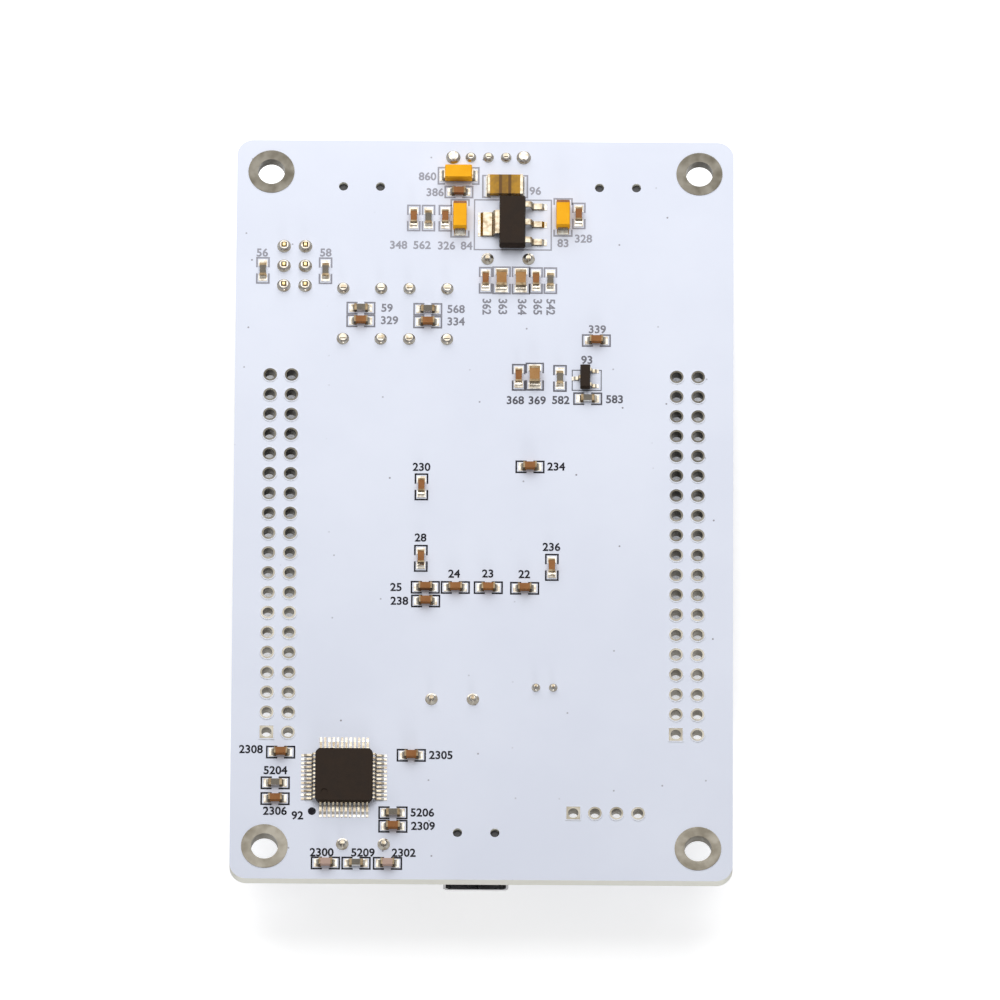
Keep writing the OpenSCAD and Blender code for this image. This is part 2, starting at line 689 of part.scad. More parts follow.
// The moulded case, drafted both ways from its parting line, bevelled at its positive end
module tantalum_case() {
    half = tantalum_l / 2 - strap_t;
    low = pad_t + strap_t;
    middle = pad_t + tantalum_h / 2;
    high = pad_t + tantalum_h;
    side = tantalum_w / 2;
    difference() {
        intersection() {
            across(tantalum_w + cut) polygon([
                [-half + tantalum_draft, low], [half - tantalum_draft, low], [half, middle - strap_t],
                [half, middle], [half - tantalum_draft, high - tantalum_bevel],
                [half - tantalum_bevel, high], [-half + tantalum_draft, high],
                [-half, middle], [-half, middle - strap_t],
            ]);
            along(tantalum_l + cut) polygon([
                [-side + tantalum_draft, low], [side - tantalum_draft, low], [side, middle],
                [side - tantalum_draft, high], [-side + tantalum_draft, high], [-side, middle],
            ]);
        }
        tantalum_straps();
    }
}

module tantalum_capacitor_bodies() color([0.97, 0.72, 0.2]) at_each(tantalum_spots) tantalum_case();

module tantalum_capacitor_straps() color([0.82, 0.81, 0.78]) at_each(tantalum_spots) tantalum_straps();

module resettable_fuse_body() color([0.72, 0.58, 0.2]) at(fuse_spot) chip_core(fuse_size);

module resettable_fuse_terminals() color([0.84, 0.83, 0.78]) at(fuse_spot) chip_caps(fuse_size, fuse_band);

// ---------- moulded bodies and gull-wing leads ----------

// An arc of points about a centre, from one angle to another
function arc(centre, radius, from, to) = [
    for (i = [0 : bend_steps]) let (a = from + (to - from) * i / bend_steps)
        centre + radius * [cos(a), sin(a)]
];

// Side profile of a gull-wing lead: out of the body at x = 0, down, and out to its foot on z = 0
function gull_profile(lead, rise) = let (
    reach = lead[0], foot = lead[1], t = lead[3], bend = lead[4], lean = 80,
    fall = (rise - t - 2 * bend * (1 - cos(lean))) / sin(lean),
    knee = reach - foot,
    ankle = [knee, t / 2 + bend],
    shoulder = [knee - 2 * bend * sin(lean) - fall * cos(lean), rise - t / 2 - bend]
) concat(
    [[0, rise - t]], [[0, rise]],
    arc(shoulder, bend + t / 2, 90, 90 - lean), arc(ankle, bend - t / 2, 270 - lean, 270),
    [[reach, t], [reach, 0]],
    arc(ankle, bend + t / 2, 270, 270 - lean), arc(shoulder, bend - t / 2, 90 - lean, 90)
);

// A lead whose top leaves the body at a height above the pad
module gull_lead(lead, rise) translate([0, 0, pad_t]) across(lead[2]) polygon(gull_profile(lead, rise));

// A tinned pad under a lead's foot, with a wedge of solder at its toe
module toe_pad(lead, out) {
    reach = lead[0];
    heel = reach - lead[1] - lead[4];
    across(lead[2] + 2 * pad_side) polygon([
        [heel, 0], [reach + out, 0], [reach + out, pad_t], [reach + min(toe_solder, out / 2), pad_t],
        [reach, pad_t + lead[3] * toe_climb], [reach, pad_t], [heel, pad_t],
    ]);
}

// Side profile of a moulded body: drafted both ways from the band that its leads leave through
function drafted(size, h, band_low, band_high) = [
    [-size / 2 + body_draft, 0], [size / 2 - body_draft, 0],
    [size / 2, band_low], [size / 2, band_high],
    [size / 2 - body_draft, h], [-size / 2 + body_draft, h],
    [-size / 2, band_high], [-size / 2, band_low],
];

function lead_rise(h, lead) = stand_off + h / 2 + lead[3] / 2;

module moulded_body(w, l, h, lead) {
    low = h / 2 - lead[3] / 2 - parting_band;
    high = h / 2 + lead[3] / 2 + parting_band;
    translate([0, 0, pad_t + stand_off]) intersection() {
        across(l + cut) polygon(drafted(w, h, low, high));
        along(w + cut) polygon(drafted(l, h, low, high));
    }
}

// The shallow round mark at a body's first pin
module index_dimple(x, y, h) translate([x, y, pad_t + stand_off + h - index_dimple_depth])
    cylinder(d = index_dimple_d, h = index_dimple_depth + cut);

module on_four_sides(w, pins) for (turn = [0 : 90 : 270], i = [0 : pins - 1])
    rotate(turn) translate([w / 2, (i - (pins - 1) / 2) * fine_pitch, 0]) children();

module flat_pack_body(w) difference() {
    intersection() {
        moulded_body(w, w, flat_pack_h, fine_lead);
        linear_extrude(3 * flat_pack_h) difference() {
            square(w + cut, center = true);
            for (x = [-1, 1], y = [-1, 1]) translate([x * w / 2, y * w / 2]) rotate(45)
                square(flat_pack_corner * sqrt(2), center = true);
        }
    }
    index_dimple(index_dimple_inset - w / 2, index_dimple_inset - w / 2, flat_pack_h);
}

module flat_pack_leads(w, pins)
    on_four_sides(w, pins) gull_lead(fine_lead, lead_rise(flat_pack_h, fine_lead));

module probe_controller_body() color([0.22, 0.2, 0.2]) at(probe_chip_spot) flat_pack_body(probe_chip_w);

module probe_controller_leads() color([0.75, 0.74, 0.7])
    at(probe_chip_spot) flat_pack_leads(probe_chip_w, probe_chip_pins);

module main_controller_body() color([0.2, 0.2, 0.2]) at(main_chip_spot) flat_pack_body(main_chip_w);

module main_controller_leads() color([0.75, 0.74, 0.7])
    at(main_chip_spot) flat_pack_leads(main_chip_w, main_chip_pins);

module on_bridge_sides() for (turn = [0, 180], i = [0 : bridge_pins - 1])
    rotate(turn) translate([bridge_w / 2, (i - (bridge_pins - 1) / 2) * bridge_pitch, 0]) children();

module serial_bridge_body() color([0.2, 0.2, 0.2]) at(bridge_spot) difference() {
    moulded_body(bridge_w, bridge_l, bridge_h, bridge_lead);
    index_dimple(index_dimple_inset - bridge_w / 2, index_dimple_inset - bridge_l / 2, bridge_h);
}

module serial_bridge_leads() color([0.75, 0.74, 0.7]) at(bridge_spot)
    on_bridge_sides() gull_lead(bridge_lead, lead_rise(bridge_h, bridge_lead));

module on_regulator_leads() for (i = [-1 : 1])
    translate([regulator_w / 2, i * regulator_pitch, 0]) children();

module on_regulator_tab() rotate(180) translate([regulator_w / 2, 0, 0]) children();

module regulator_body() color([0.2, 0.17, 0.16])
    at(regulator_spot) moulded_body(regulator_w, regulator_l, regulator_h, power_lead);

module regulator_leads() color([0.85, 0.84, 0.78]) at(regulator_spot) {
    on_regulator_leads() gull_lead(power_lead, lead_rise(regulator_h, power_lead));
    on_regulator_tab() gull_lead(tab_lead, lead_rise(regulator_h, tab_lead));
}

module on_transistor_leads() {
    for (side = [-1, 1]) translate([transistor_w / 2, side * transistor_pitch / 2, 0]) children();
    rotate(180) translate([transistor_w / 2, 0, 0]) children();
}

module transistor_body() color([0.2, 0.2, 0.2])
    at(transistor_spot) moulded_body(transistor_w, transistor_l, transistor_h, transistor_lead);

module transistor_leads() color([0.8, 0.8, 0.76]) at(transistor_spot)
    on_transistor_leads() gull_lead(transistor_lead, lead_rise(transistor_h, transistor_lead));

module flat_pack_pads() color([0.8, 0.8, 0.77]) {
    at(probe_chip_spot) on_four_sides(probe_chip_w, probe_chip_pins) toe_pad(fine_lead, fine_pad_out);
    at(main_chip_spot) on_four_sides(main_chip_w, main_chip_pins) toe_pad(fine_lead, fine_pad_out);
    at(bridge_spot) on_bridge_sides() toe_pad(bridge_lead, bridge_pad_out);
    at(regulator_spot) on_regulator_leads() toe_pad(power_lead, regulator_pad_out);
    at(regulator_spot) on_regulator_tab() toe_pad(tab_lead, regulator_pad_out);
    at(transistor_spot) on_transistor_leads() toe_pad(transistor_lead, transistor_pad_out);
}

// ---------- sockets ----------

// Outline of a socket seen into its mouth, drawn in by an inset; its lower corners are pinched in
function socket_outline(inset) = let (
    half = socket_w / 2 - inset, low = inset, high = socket_h - inset,
    narrow = half - socket_pinch, bevel = socket_top_bevel
) [
    [-narrow, low], [narrow, low], [half, socket_pinch_h], [half, high - bevel],
    [half - bevel, high], [bevel - half, high], [-half, high - bevel], [-half, socket_pinch_h],
];

// A length of the socket's section between two places along Y, facing the mouth at +Y
module socket_section(inset, y0, y1) translate([0, (y0 + y1) / 2, 0])
    across(y1 - y0) polygon(socket_outline(inset));

module socket_feet() for (x = [-1, 1], y = [front_foot_y, rear_foot_y])
    translate([x * (socket_w / 2 - socket_pinch + foot_out / 2), y, 0])
        block(foot_out, foot_w, 0, socket_wall);

// Slots on three sides of a latch spring in the shell's top
module latch_slots() for (x = [-1, 1]) translate([x * latch_x, latch_front, socket_h]) difference() {
    translate([0, latch_l / 2, 0])
        cube([latch_w + 2 * latch_slot, latch_l, 3 * socket_wall], center = true);
    translate([0, latch_l / 2 + latch_slot, 0]) cube([latch_w, latch_l, 4 * socket_wall], center = true);
}

module socket_shell() color([0.8, 0.8, 0.8]) difference() {
    union() {
        socket_section(0, peg_to_mouth - socket_l, peg_to_mouth);
        socket_feet();
    }
    socket_section(socket_wall, peg_to_mouth - socket_l - cut, peg_to_mouth + cut);
    latch_slots();
    for (x = [-1, 1]) translate([x * peg_spacing / 2, 0, -cut])
        cylinder(d = peg_d + 2 * peg_gap, h = 2 * cut);
}

// Side profile of a contact: along the tongue's underside, down behind the insulator, out on the board
module socket_contact() {
    low = tongue_z - tongue_h / 2;
    front = peg_to_mouth - tongue_back - contact_short;
    back = -insulator_back;
    t = contact_t;
    along(contact_w) polygon([
        [front, low], [back - t, low], [back - t, t], [back - contact_tail, t], [back - contact_tail, 0],
        [back, 0], [back, low - t], [front, low - t],
    ]);
}

module socket_contact_row() for (i = [-2 : 2]) translate([i * contact_pitch, 0, 0]) socket_contact();

module socket_insulator() color([0.12, 0.12, 0.12]) difference() {
    union() {
        socket_section(socket_wall + insulator_fit, -insulator_back, insulator_front);
        translate([0, (peg_to_mouth - tongue_back + insulator_front) / 2 - cut / 2, 0])
            block(tongue_w, peg_to_mouth - tongue_back - insulator_front + cut,
                  tongue_z - tongue_h / 2, tongue_z + tongue_h / 2);
        for (x = [-1, 1]) translate([x * peg_spacing / 2, 0, -peg_depth])
            cylinder(d = peg_d, h = peg_depth + tongue_z);
    }
    socket_contact_row();
}

module left_socket_shell() at(left_socket_spot) socket_shell();

module right_socket_shell() at(right_socket_spot) socket_shell();

module probe_socket_shell() at(probe_socket_spot) socket_shell();

module left_socket_insulator() at(left_socket_spot) socket_insulator();

module right_socket_insulator() at(right_socket_spot) socket_insulator();

module probe_socket_insulator() at(probe_socket_spot) socket_insulator();

module socket_contacts() color([0.85, 0.72, 0.35]) at_each(socket_spots) socket_contact_row();

// ---------- crystals ----------

// A long round-ended can: the same section turned at both ends and drawn along the middle
module round_ended(run, section) {
    for (x = [-run / 2, run / 2]) translate([x, 0, 0]) rotate_extrude() polygon(section);
    along(run) polygon(section);
    along(run) mirror([1, 0, 0]) polygon(section);
}

module crystal_can() {
    flange_r = crystal_w / 2;
    can_r = flange_r - crystal_flange;
    run = crystal_l - crystal_w;
    crown = can_r - can_round;
    rounding = [for (i = [0 : bend_steps]) let (a = 90 * i / bend_steps)
        [crown + can_round * cos(a), crystal_h - can_round + can_round * sin(a)]];
    color([0.8, 0.81, 0.82]) round_ended(run, concat(
        [[0, 0], [flange_r, 0], [flange_r, flange_h], [can_r, flange_h]], rounding, [[0, crystal_h]]));
}

module serial_crystal_can() at(serial_crystal_spot) crystal_can();

module main_crystal_can() at(main_crystal_spot) crystal_can();

module probe_crystal_can() at(probe_crystal_spot) crystal_can();

module crystal_leads() color([0.8, 0.8, 0.78]) at_each(crystal_spots)
    for (point = crystal_grid) translate([point[0], point[1], -lead_drop])
        cylinder(d = crystal_lead_d, h = lead_drop);

// The clock crystal's can, lying along Y with its leads at the near end
module clock_crystal_can() color([0.8, 0.81, 0.82]) at(clock_crystal_spot)
    translate([0, clock_lead_run, clock_z]) rotate([-90, 0, 0]) rotate_extrude() polygon([
        [0, 0], [clock_seal_r, 0], [clock_seal_r, clock_shoulder], [clock_d / 2, clock_shoulder],
        [clock_d / 2, clock_l - clock_shoulder], [clock_d / 2 - clock_shoulder, clock_l], [0, clock_l],
    ]);

// A lead that runs out of the can, spreads and turns down through the board
module clock_lead() {
    start = [clock_lead_start, clock_lead_run, clock_z];
    bend = [clock_lead_spacing / 2, 0, clock_z];
    step = bend - start;
    translate(start) rotate([90, 0, atan2(step[0], -step[1])]) cylinder(d = clock_lead_d, h = norm(step));
    translate(bend) sphere(d = clock_lead_d);
    translate([bend[0], bend[1], -lead_drop]) cylinder(d = clock_lead_d, h = lead_drop + clock_z);
}

module clock_crystal_leads() color([0.8, 0.8, 0.78]) at(clock_crystal_spot) {
    clock_lead();
    mirror([1, 0, 0]) clock_lead();
}

// ---------- boot pins ----------

module boot_header_insulator() color([0.12, 0.12, 0.12]) at(boot_header_spot) difference() {
    linear_extrude(boot_insulator_h) for (point = boot_grid) translate(point) difference() {
        square(pitch, center = true);
        for (x = [-1, 1], y = [-1, 1]) translate([x * pitch / 2, y * pitch / 2]) rotate(45)
            square(boot_corner * sqrt(2), center = true);
    }
    for (point = boot_grid) translate(point) flat_lead(boot_pin_w, boot_pin_w);
}

// A square pin with both of its ends bevelled on four sides
module boot_pin() {
    half = boot_pin_w / 2;
    tip = half / 2;
    side = [
        [-tip, -lead_drop], [tip, -lead_drop],
        [half, pin_tip - lead_drop], [half, boot_pin_top - pin_tip],
        [tip, boot_pin_top], [-tip, boot_pin_top],
        [-half, boot_pin_top - pin_tip], [-half, pin_tip - lead_drop],
    ];
    intersection() {
        across(2 * boot_pin_w) polygon(side);
        along(2 * boot_pin_w) polygon(side);
    }
}

module boot_header_pins() color([0.85, 0.72, 0.35]) at(boot_header_spot)
    for (point = boot_grid) translate(point) boot_pin();

// ---------- power switch ----------

// The folded sheet frame, slotted for the knob, with a leg through the board at each end
module switch_frame() color([0.78, 0.78, 0.78]) at(switch_spot) difference() {
    union() {
        block(switch_l, switch_w, 0, switch_h);
        for (x = [-1, 1]) translate([x * switch_leg_x, 0, 0])
            block(switch_wall, switch_leg_w, -lead_drop, cut);
    }
    block(inner_l, inner_w, -cut, switch_h - switch_wall);
    block(slot_l, knob_w + 2 * slide_gap, 0, switch_h + cut);
}

module switch_terminal() {
    block(terminal_head_w, terminal_head_w, switch_base_h, switch_base_h + terminal_head_t);
    block(switch_pin_w, switch_pin_t, -lead_drop, switch_base_h + terminal_head_t / 2);
}

module switch_terminal_row() for (point = switch_pin_grid) translate(point) switch_terminal();

module switch_terminals() color([0.85, 0.83, 0.75]) at(switch_spot) switch_terminal_row();

module switch_base() color([0.55, 0.35, 0.2]) at(switch_spot) difference() {
    block(inner_l - 2 * switch_base_fit, inner_w - 2 * switch_base_fit, 0, switch_base_h);
    switch_terminal_row();
}

// The slider, resting at one end of its slot, with its knob out of the frame
module switch_slider() color([0.12, 0.12, 0.12]) at(switch_spot) translate([slider_x, 0, 0]) {
    block(slider_l, inner_w - 2 * slide_gap, slider_z0, slider_z1);
    block(knob_w, knob_w, slider_z1 - slider_h / 2, knob_top);
}

// The springy bridge under the slider, which joins two neighbouring terminals
module switch_bridge() color([0.85, 0.72, 0.35]) at(switch_spot) translate([slider_x, 0, 0]) {
    low = switch_base_h + terminal_head_t + play;
    high = slider_z0;
    far = switch_pitch / 2 + bridge_foot / 2;
    near = switch_pitch / 2 - bridge_foot / 2;
    t = bridge_plate_t;
    across(bridge_plate_w) polygon([
        [-far, low], [-near, low], [2 * t - near, high - t], [near - 2 * t, high - t],
        [near, low], [far, low], [far, low + t], [near + t, low + t],
        [near - t, high], [t - near, high], [-near - t, low + t], [-far, low + t],
    ]);
}

// ---------- push buttons ----------

// A leg that leaves the housing's side and turns down through the board
module button_leg() {
    inner = button_leg_y - button_leg_t / 2;
    outer = button_leg_y + button_leg_t / 2;
    along(button_leg_w) polygon([
        [inner - button_leg_bite, button_leg_z], [outer, button_leg_z], [outer, -lead_drop],
        [inner, -lead_drop], [inner, button_leg_z - button_leg_t],
        [inner - button_leg_bite, button_leg_z - button_leg_t],
    ]);
}

module button_leg_set() for (turn = [0, 180], x = [-1, 1])
    rotate(turn) translate([x * button_leg_spacing / 2, 0, 0]) button_leg();

module button_legs() color([0.8, 0.8, 0.78]) at_each(button_spots) button_leg_set();

// The moulded housing: a well for the dome, a step for the folded cover and four riveted posts
module button_housing() color([0.13, 0.13, 0.13]) difference() {
    union() {
        block(button_w - 2 * button_side_t, button_w, 0, cover_z);
        block(button_w, button_w, 0, cover_z - button_side_h);
        for (x = [-1, 1], y = [-1, 1]) translate([x * post_at, y * post_at, 0])
            cylinder(d = post_d, h = button_h + post_out);
    }
    translate([0, 0, button_floor]) cylinder(d = button_well_d, h = button_h);
    button_leg_set();
}

// The sheet cover, folded down over two sides
module button_cover() color([0.8, 0.8, 0.8]) difference() {
    union() {
        block(button_w, button_w, cover_z, button_h);
        for (x = [-1, 1]) translate([x * (button_w - button_side_t) / 2, 0, 0])
            block(button_side_t, button_w, cover_z - button_side_h, button_h);
    }
    translate([0, 0, cover_z - cut]) cylinder(d = plunger_d + 2 * plunger_gap, h = 3 * cut);
    for (x = [-1, 1], y = [-1, 1]) translate([x * post_at, y * post_at, cover_z - cut])
        cylinder(d = post_d, h = 3 * cut);
}

// The snap dome on the well's floor: a thin shell of revolution
module button_dome() color([0.85, 0.83, 0.75]) {
    curve = [for (i = [0 : dome_steps]) let (s = 1 - i / dome_steps)
        [dome_d / 2 * s, dome_rise * (1 - s * s)]];
    inside = [for (i = [dome_steps : -1 : 0]) [curve[i][0], max(0, curve[i][1] - dome_t)]];
    translate([0, 0, button_floor]) rotate_extrude() polygon(concat(
        [[dome_d / 2, dome_t / 2]], [for (i = [1 : dome_steps]) curve[i]],
        [for (i = [0 : dome_steps - 1]) inside[i]], [[dome_d / 2, 0]]));
}

// The plunger: a knob held under the cover by its flange, with a nub that bears on the dome
module button_plunger() color([0.15, 0.15, 0.15]) {
    nub_z = button_floor + dome_rise + play;
    flange_z = cover_z - play;
    rotate_extrude() polygon([
        [0, nub_z], [nub_d / 2, nub_z], [nub_d / 2, flange_z - flange_t],
        [flange_d / 2, flange_z - flange_t], [flange_d / 2, flange_z], [plunger_d / 2, flange_z],
        [plunger_d / 2, plunger_top - plunger_bevel], [plunger_d / 2 - plunger_bevel, plunger_top],
        [0, plunger_top],
    ]);
}

module left_button_housing() at(left_button_spot) button_housing();

module left_button_cover() at(left_button_spot) button_cover();

module left_button_plunger() at(left_button_spot) button_plunger();

module left_button_dome() at(left_button_spot) button_dome();

module right_button_housing() at(right_button_spot) button_housing();

module right_button_cover() at(right_button_spot) button_cover();

module right_button_plunger() at(right_button_spot) button_plunger();

module right_button_dome() at(right_button_spot) button_dome();

circuit_board();
mounting_hole_lands();
left_header_lands();
right_header_lands();
probe_header_lands();
solder_joints();
surface_solder();
flat_pack_pads();
small_capacitor_bodies();
small_capacitor_terminals();
large_capacitor_bodies();
large_capacitor_terminals();
resistor_bodies();
resistor_coats();
resistor_terminals();
tantalum_capacitor_bodies();
tantalum_capacitor_straps();
resettable_fuse_body();
resettable_fuse_terminals();
regulator_body();
regulator_leads();
transistor_body();
transistor_leads();
probe_controller_body();
probe_controller_leads();
main_controller_body();
main_controller_leads();
serial_bridge_body();
serial_bridge_leads();
left_socket_shell();
right_socket_shell();
probe_socket_shell();
left_socket_insulator();
right_socket_insulator();
probe_socket_insulator();
socket_contacts();
serial_crystal_can();
main_crystal_can();
probe_crystal_can();
crystal_leads();
clock_crystal_can();
clock_crystal_leads();
boot_header_insulator();
boot_header_pins();
switch_frame();
switch_base();
switch_slider();
switch_bridge();
switch_terminals();
left_button_housing();
left_button_cover();
left_button_plunger();
left_button_dome();
right_button_housing();
right_button_cover();
right_button_plunger();
right_button_dome();
button_legs();
indicator_lamps();
indicator_lamp_terminals();
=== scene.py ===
"""Dresses a microcontroller development board.

Gives its parts their finishes, adds the print, the rims of solder mask and steel copies of the snap domes,
and sets the floor, the light and the camera. Lengths are in metres and angles in radians unless a line
differs.
"""

from __future__ import annotations

import json
import logging
import math
from dataclasses import dataclass, field
from enum import Enum

import bmesh
import bpy
from bpy.types import Material, NodeSocket, Object
from mathutils import Matrix, Vector

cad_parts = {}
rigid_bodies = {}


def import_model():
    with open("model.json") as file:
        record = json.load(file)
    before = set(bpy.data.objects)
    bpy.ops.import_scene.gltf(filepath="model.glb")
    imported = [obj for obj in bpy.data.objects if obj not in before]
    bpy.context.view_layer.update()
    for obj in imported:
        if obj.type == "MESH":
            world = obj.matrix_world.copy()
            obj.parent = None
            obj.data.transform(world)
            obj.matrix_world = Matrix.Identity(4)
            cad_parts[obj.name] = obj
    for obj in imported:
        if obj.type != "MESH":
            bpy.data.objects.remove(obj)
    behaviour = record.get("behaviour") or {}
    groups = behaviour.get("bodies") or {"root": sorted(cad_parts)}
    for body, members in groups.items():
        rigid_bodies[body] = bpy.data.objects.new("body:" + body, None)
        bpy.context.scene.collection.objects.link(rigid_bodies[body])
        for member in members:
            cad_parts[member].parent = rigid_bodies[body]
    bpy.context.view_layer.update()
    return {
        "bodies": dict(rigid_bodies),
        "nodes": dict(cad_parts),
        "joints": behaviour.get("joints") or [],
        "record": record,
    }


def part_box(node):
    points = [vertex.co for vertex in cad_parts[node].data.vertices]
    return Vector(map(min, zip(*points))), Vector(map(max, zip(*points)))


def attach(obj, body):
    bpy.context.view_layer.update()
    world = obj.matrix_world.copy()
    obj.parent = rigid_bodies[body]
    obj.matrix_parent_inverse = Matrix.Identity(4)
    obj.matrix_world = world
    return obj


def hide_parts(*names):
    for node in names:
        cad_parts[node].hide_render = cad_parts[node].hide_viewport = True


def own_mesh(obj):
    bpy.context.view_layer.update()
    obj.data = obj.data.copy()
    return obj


LOG = logging.getLogger("development_board")
MM = 0.001
BOARD_BODY = "board"
INK = 0.015 * MM  # thickness of printed ink
WELD = 0.0001 * MM  # corners of a mark that are closer than this are merged
TOUCH = 0.001 * MM  # corners of a CAD node that round to the same multiple of this are one

Colour = tuple[float, float, float]
WHITE: Colour = (1.0, 1.0, 1.0)
BLACK: Colour = (0.0, 0.0, 0.0)


class Side(Enum):
    """The side of the board that a printed mark lies on, as the sign of its normal along Z."""

    SOLDER = 1
    PARTS = -1


class Axis(Enum):
    """An axis, as its place in a vector."""

    X = 0
    Y = 1
    Z = 2


# ---------- places read from the frame ----------


@dataclass(frozen=True)
class Island:
    """The box round one solid of a CAD node.

    Attributes:
        low: Its lowest corner.
        high: Its highest corner.
    """

    low: Vector
    high: Vector

    @property
    def centre(self) -> Vector:
        """The middle of the box."""
        return (self.low + self.high) / 2

    @property
    def size(self) -> Vector:
        """The box's length along each axis."""
        return self.high - self.low

    @property
    def turn(self) -> float:
        """Turn about Z of a mark along X that brings it along the box's longer side in plan."""
        return 0 if self.size.x >= self.size.y else math.pi / 2


@dataclass
class BoardPlaces:
    """Where the board's faces and parts are, worked out from the frame.

    Attributes:
        low: Lowest corner of the bare board.
        high: Highest corner of the bare board.
    """

    low: Vector = field(init=False)
    high: Vector = field(init=False)

    def __post_init__(self) -> None:
        """Reads the bare board's box."""
        self.low, self.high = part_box("circuit_board")

    def face(self, side: Side) -> float:
        """Returns the height of one face of the board.

        Args:
            side: The side that the face is on.
        """
        return self.high.z if side is Side.SOLDER else self.low.z

    def islands(self, node: str, side: Side | None = None) -> list[Island]:
        """Finds the separate solids of a node.

        Args:
            node: Name of the CAD node.
            side: The side of the board that they stand on, or None for all of them.

        Returns:
            One box for each solid, in the order of the mesh.
        """
        mesh = bpy.data.objects[node].data
        keys = [tuple(round(c / TOUCH) for c in v.co) for v in mesh.vertices]
        first = {key: i for i, key in reversed(list(enumerate(keys)))}
        parent = {i: i for i in first.values()}

        def root(i: int) -> int:
            """Follows the links from a vertex to the one that stands for its solid."""
            while parent[i] != i:
                parent[i] = parent[parent[i]]
                i = parent[i]
            return i

        for polygon in mesh.polygons:
            corners = [first[keys[i]] for i in polygon.vertices]
            for other in corners[1:]:
                parent[root(other)] = root(corners[0])
        groups: dict[int, list[Vector]] = {}
        for i in first.values():
            groups.setdefault(root(i), []).append(mesh.vertices[i].co)
        boxes = [
            Island(*(Vector([end(along) for along in zip(*points)]) for end in (min, max)))
            for points in groups.values()
        ]
        if side is None:
            return boxes
        middle = (self.low.z + self.high.z) / 2
        return [box for box in boxes if (box.centre.z - middle) * side.value > 0]


# ---------- finishes ----------


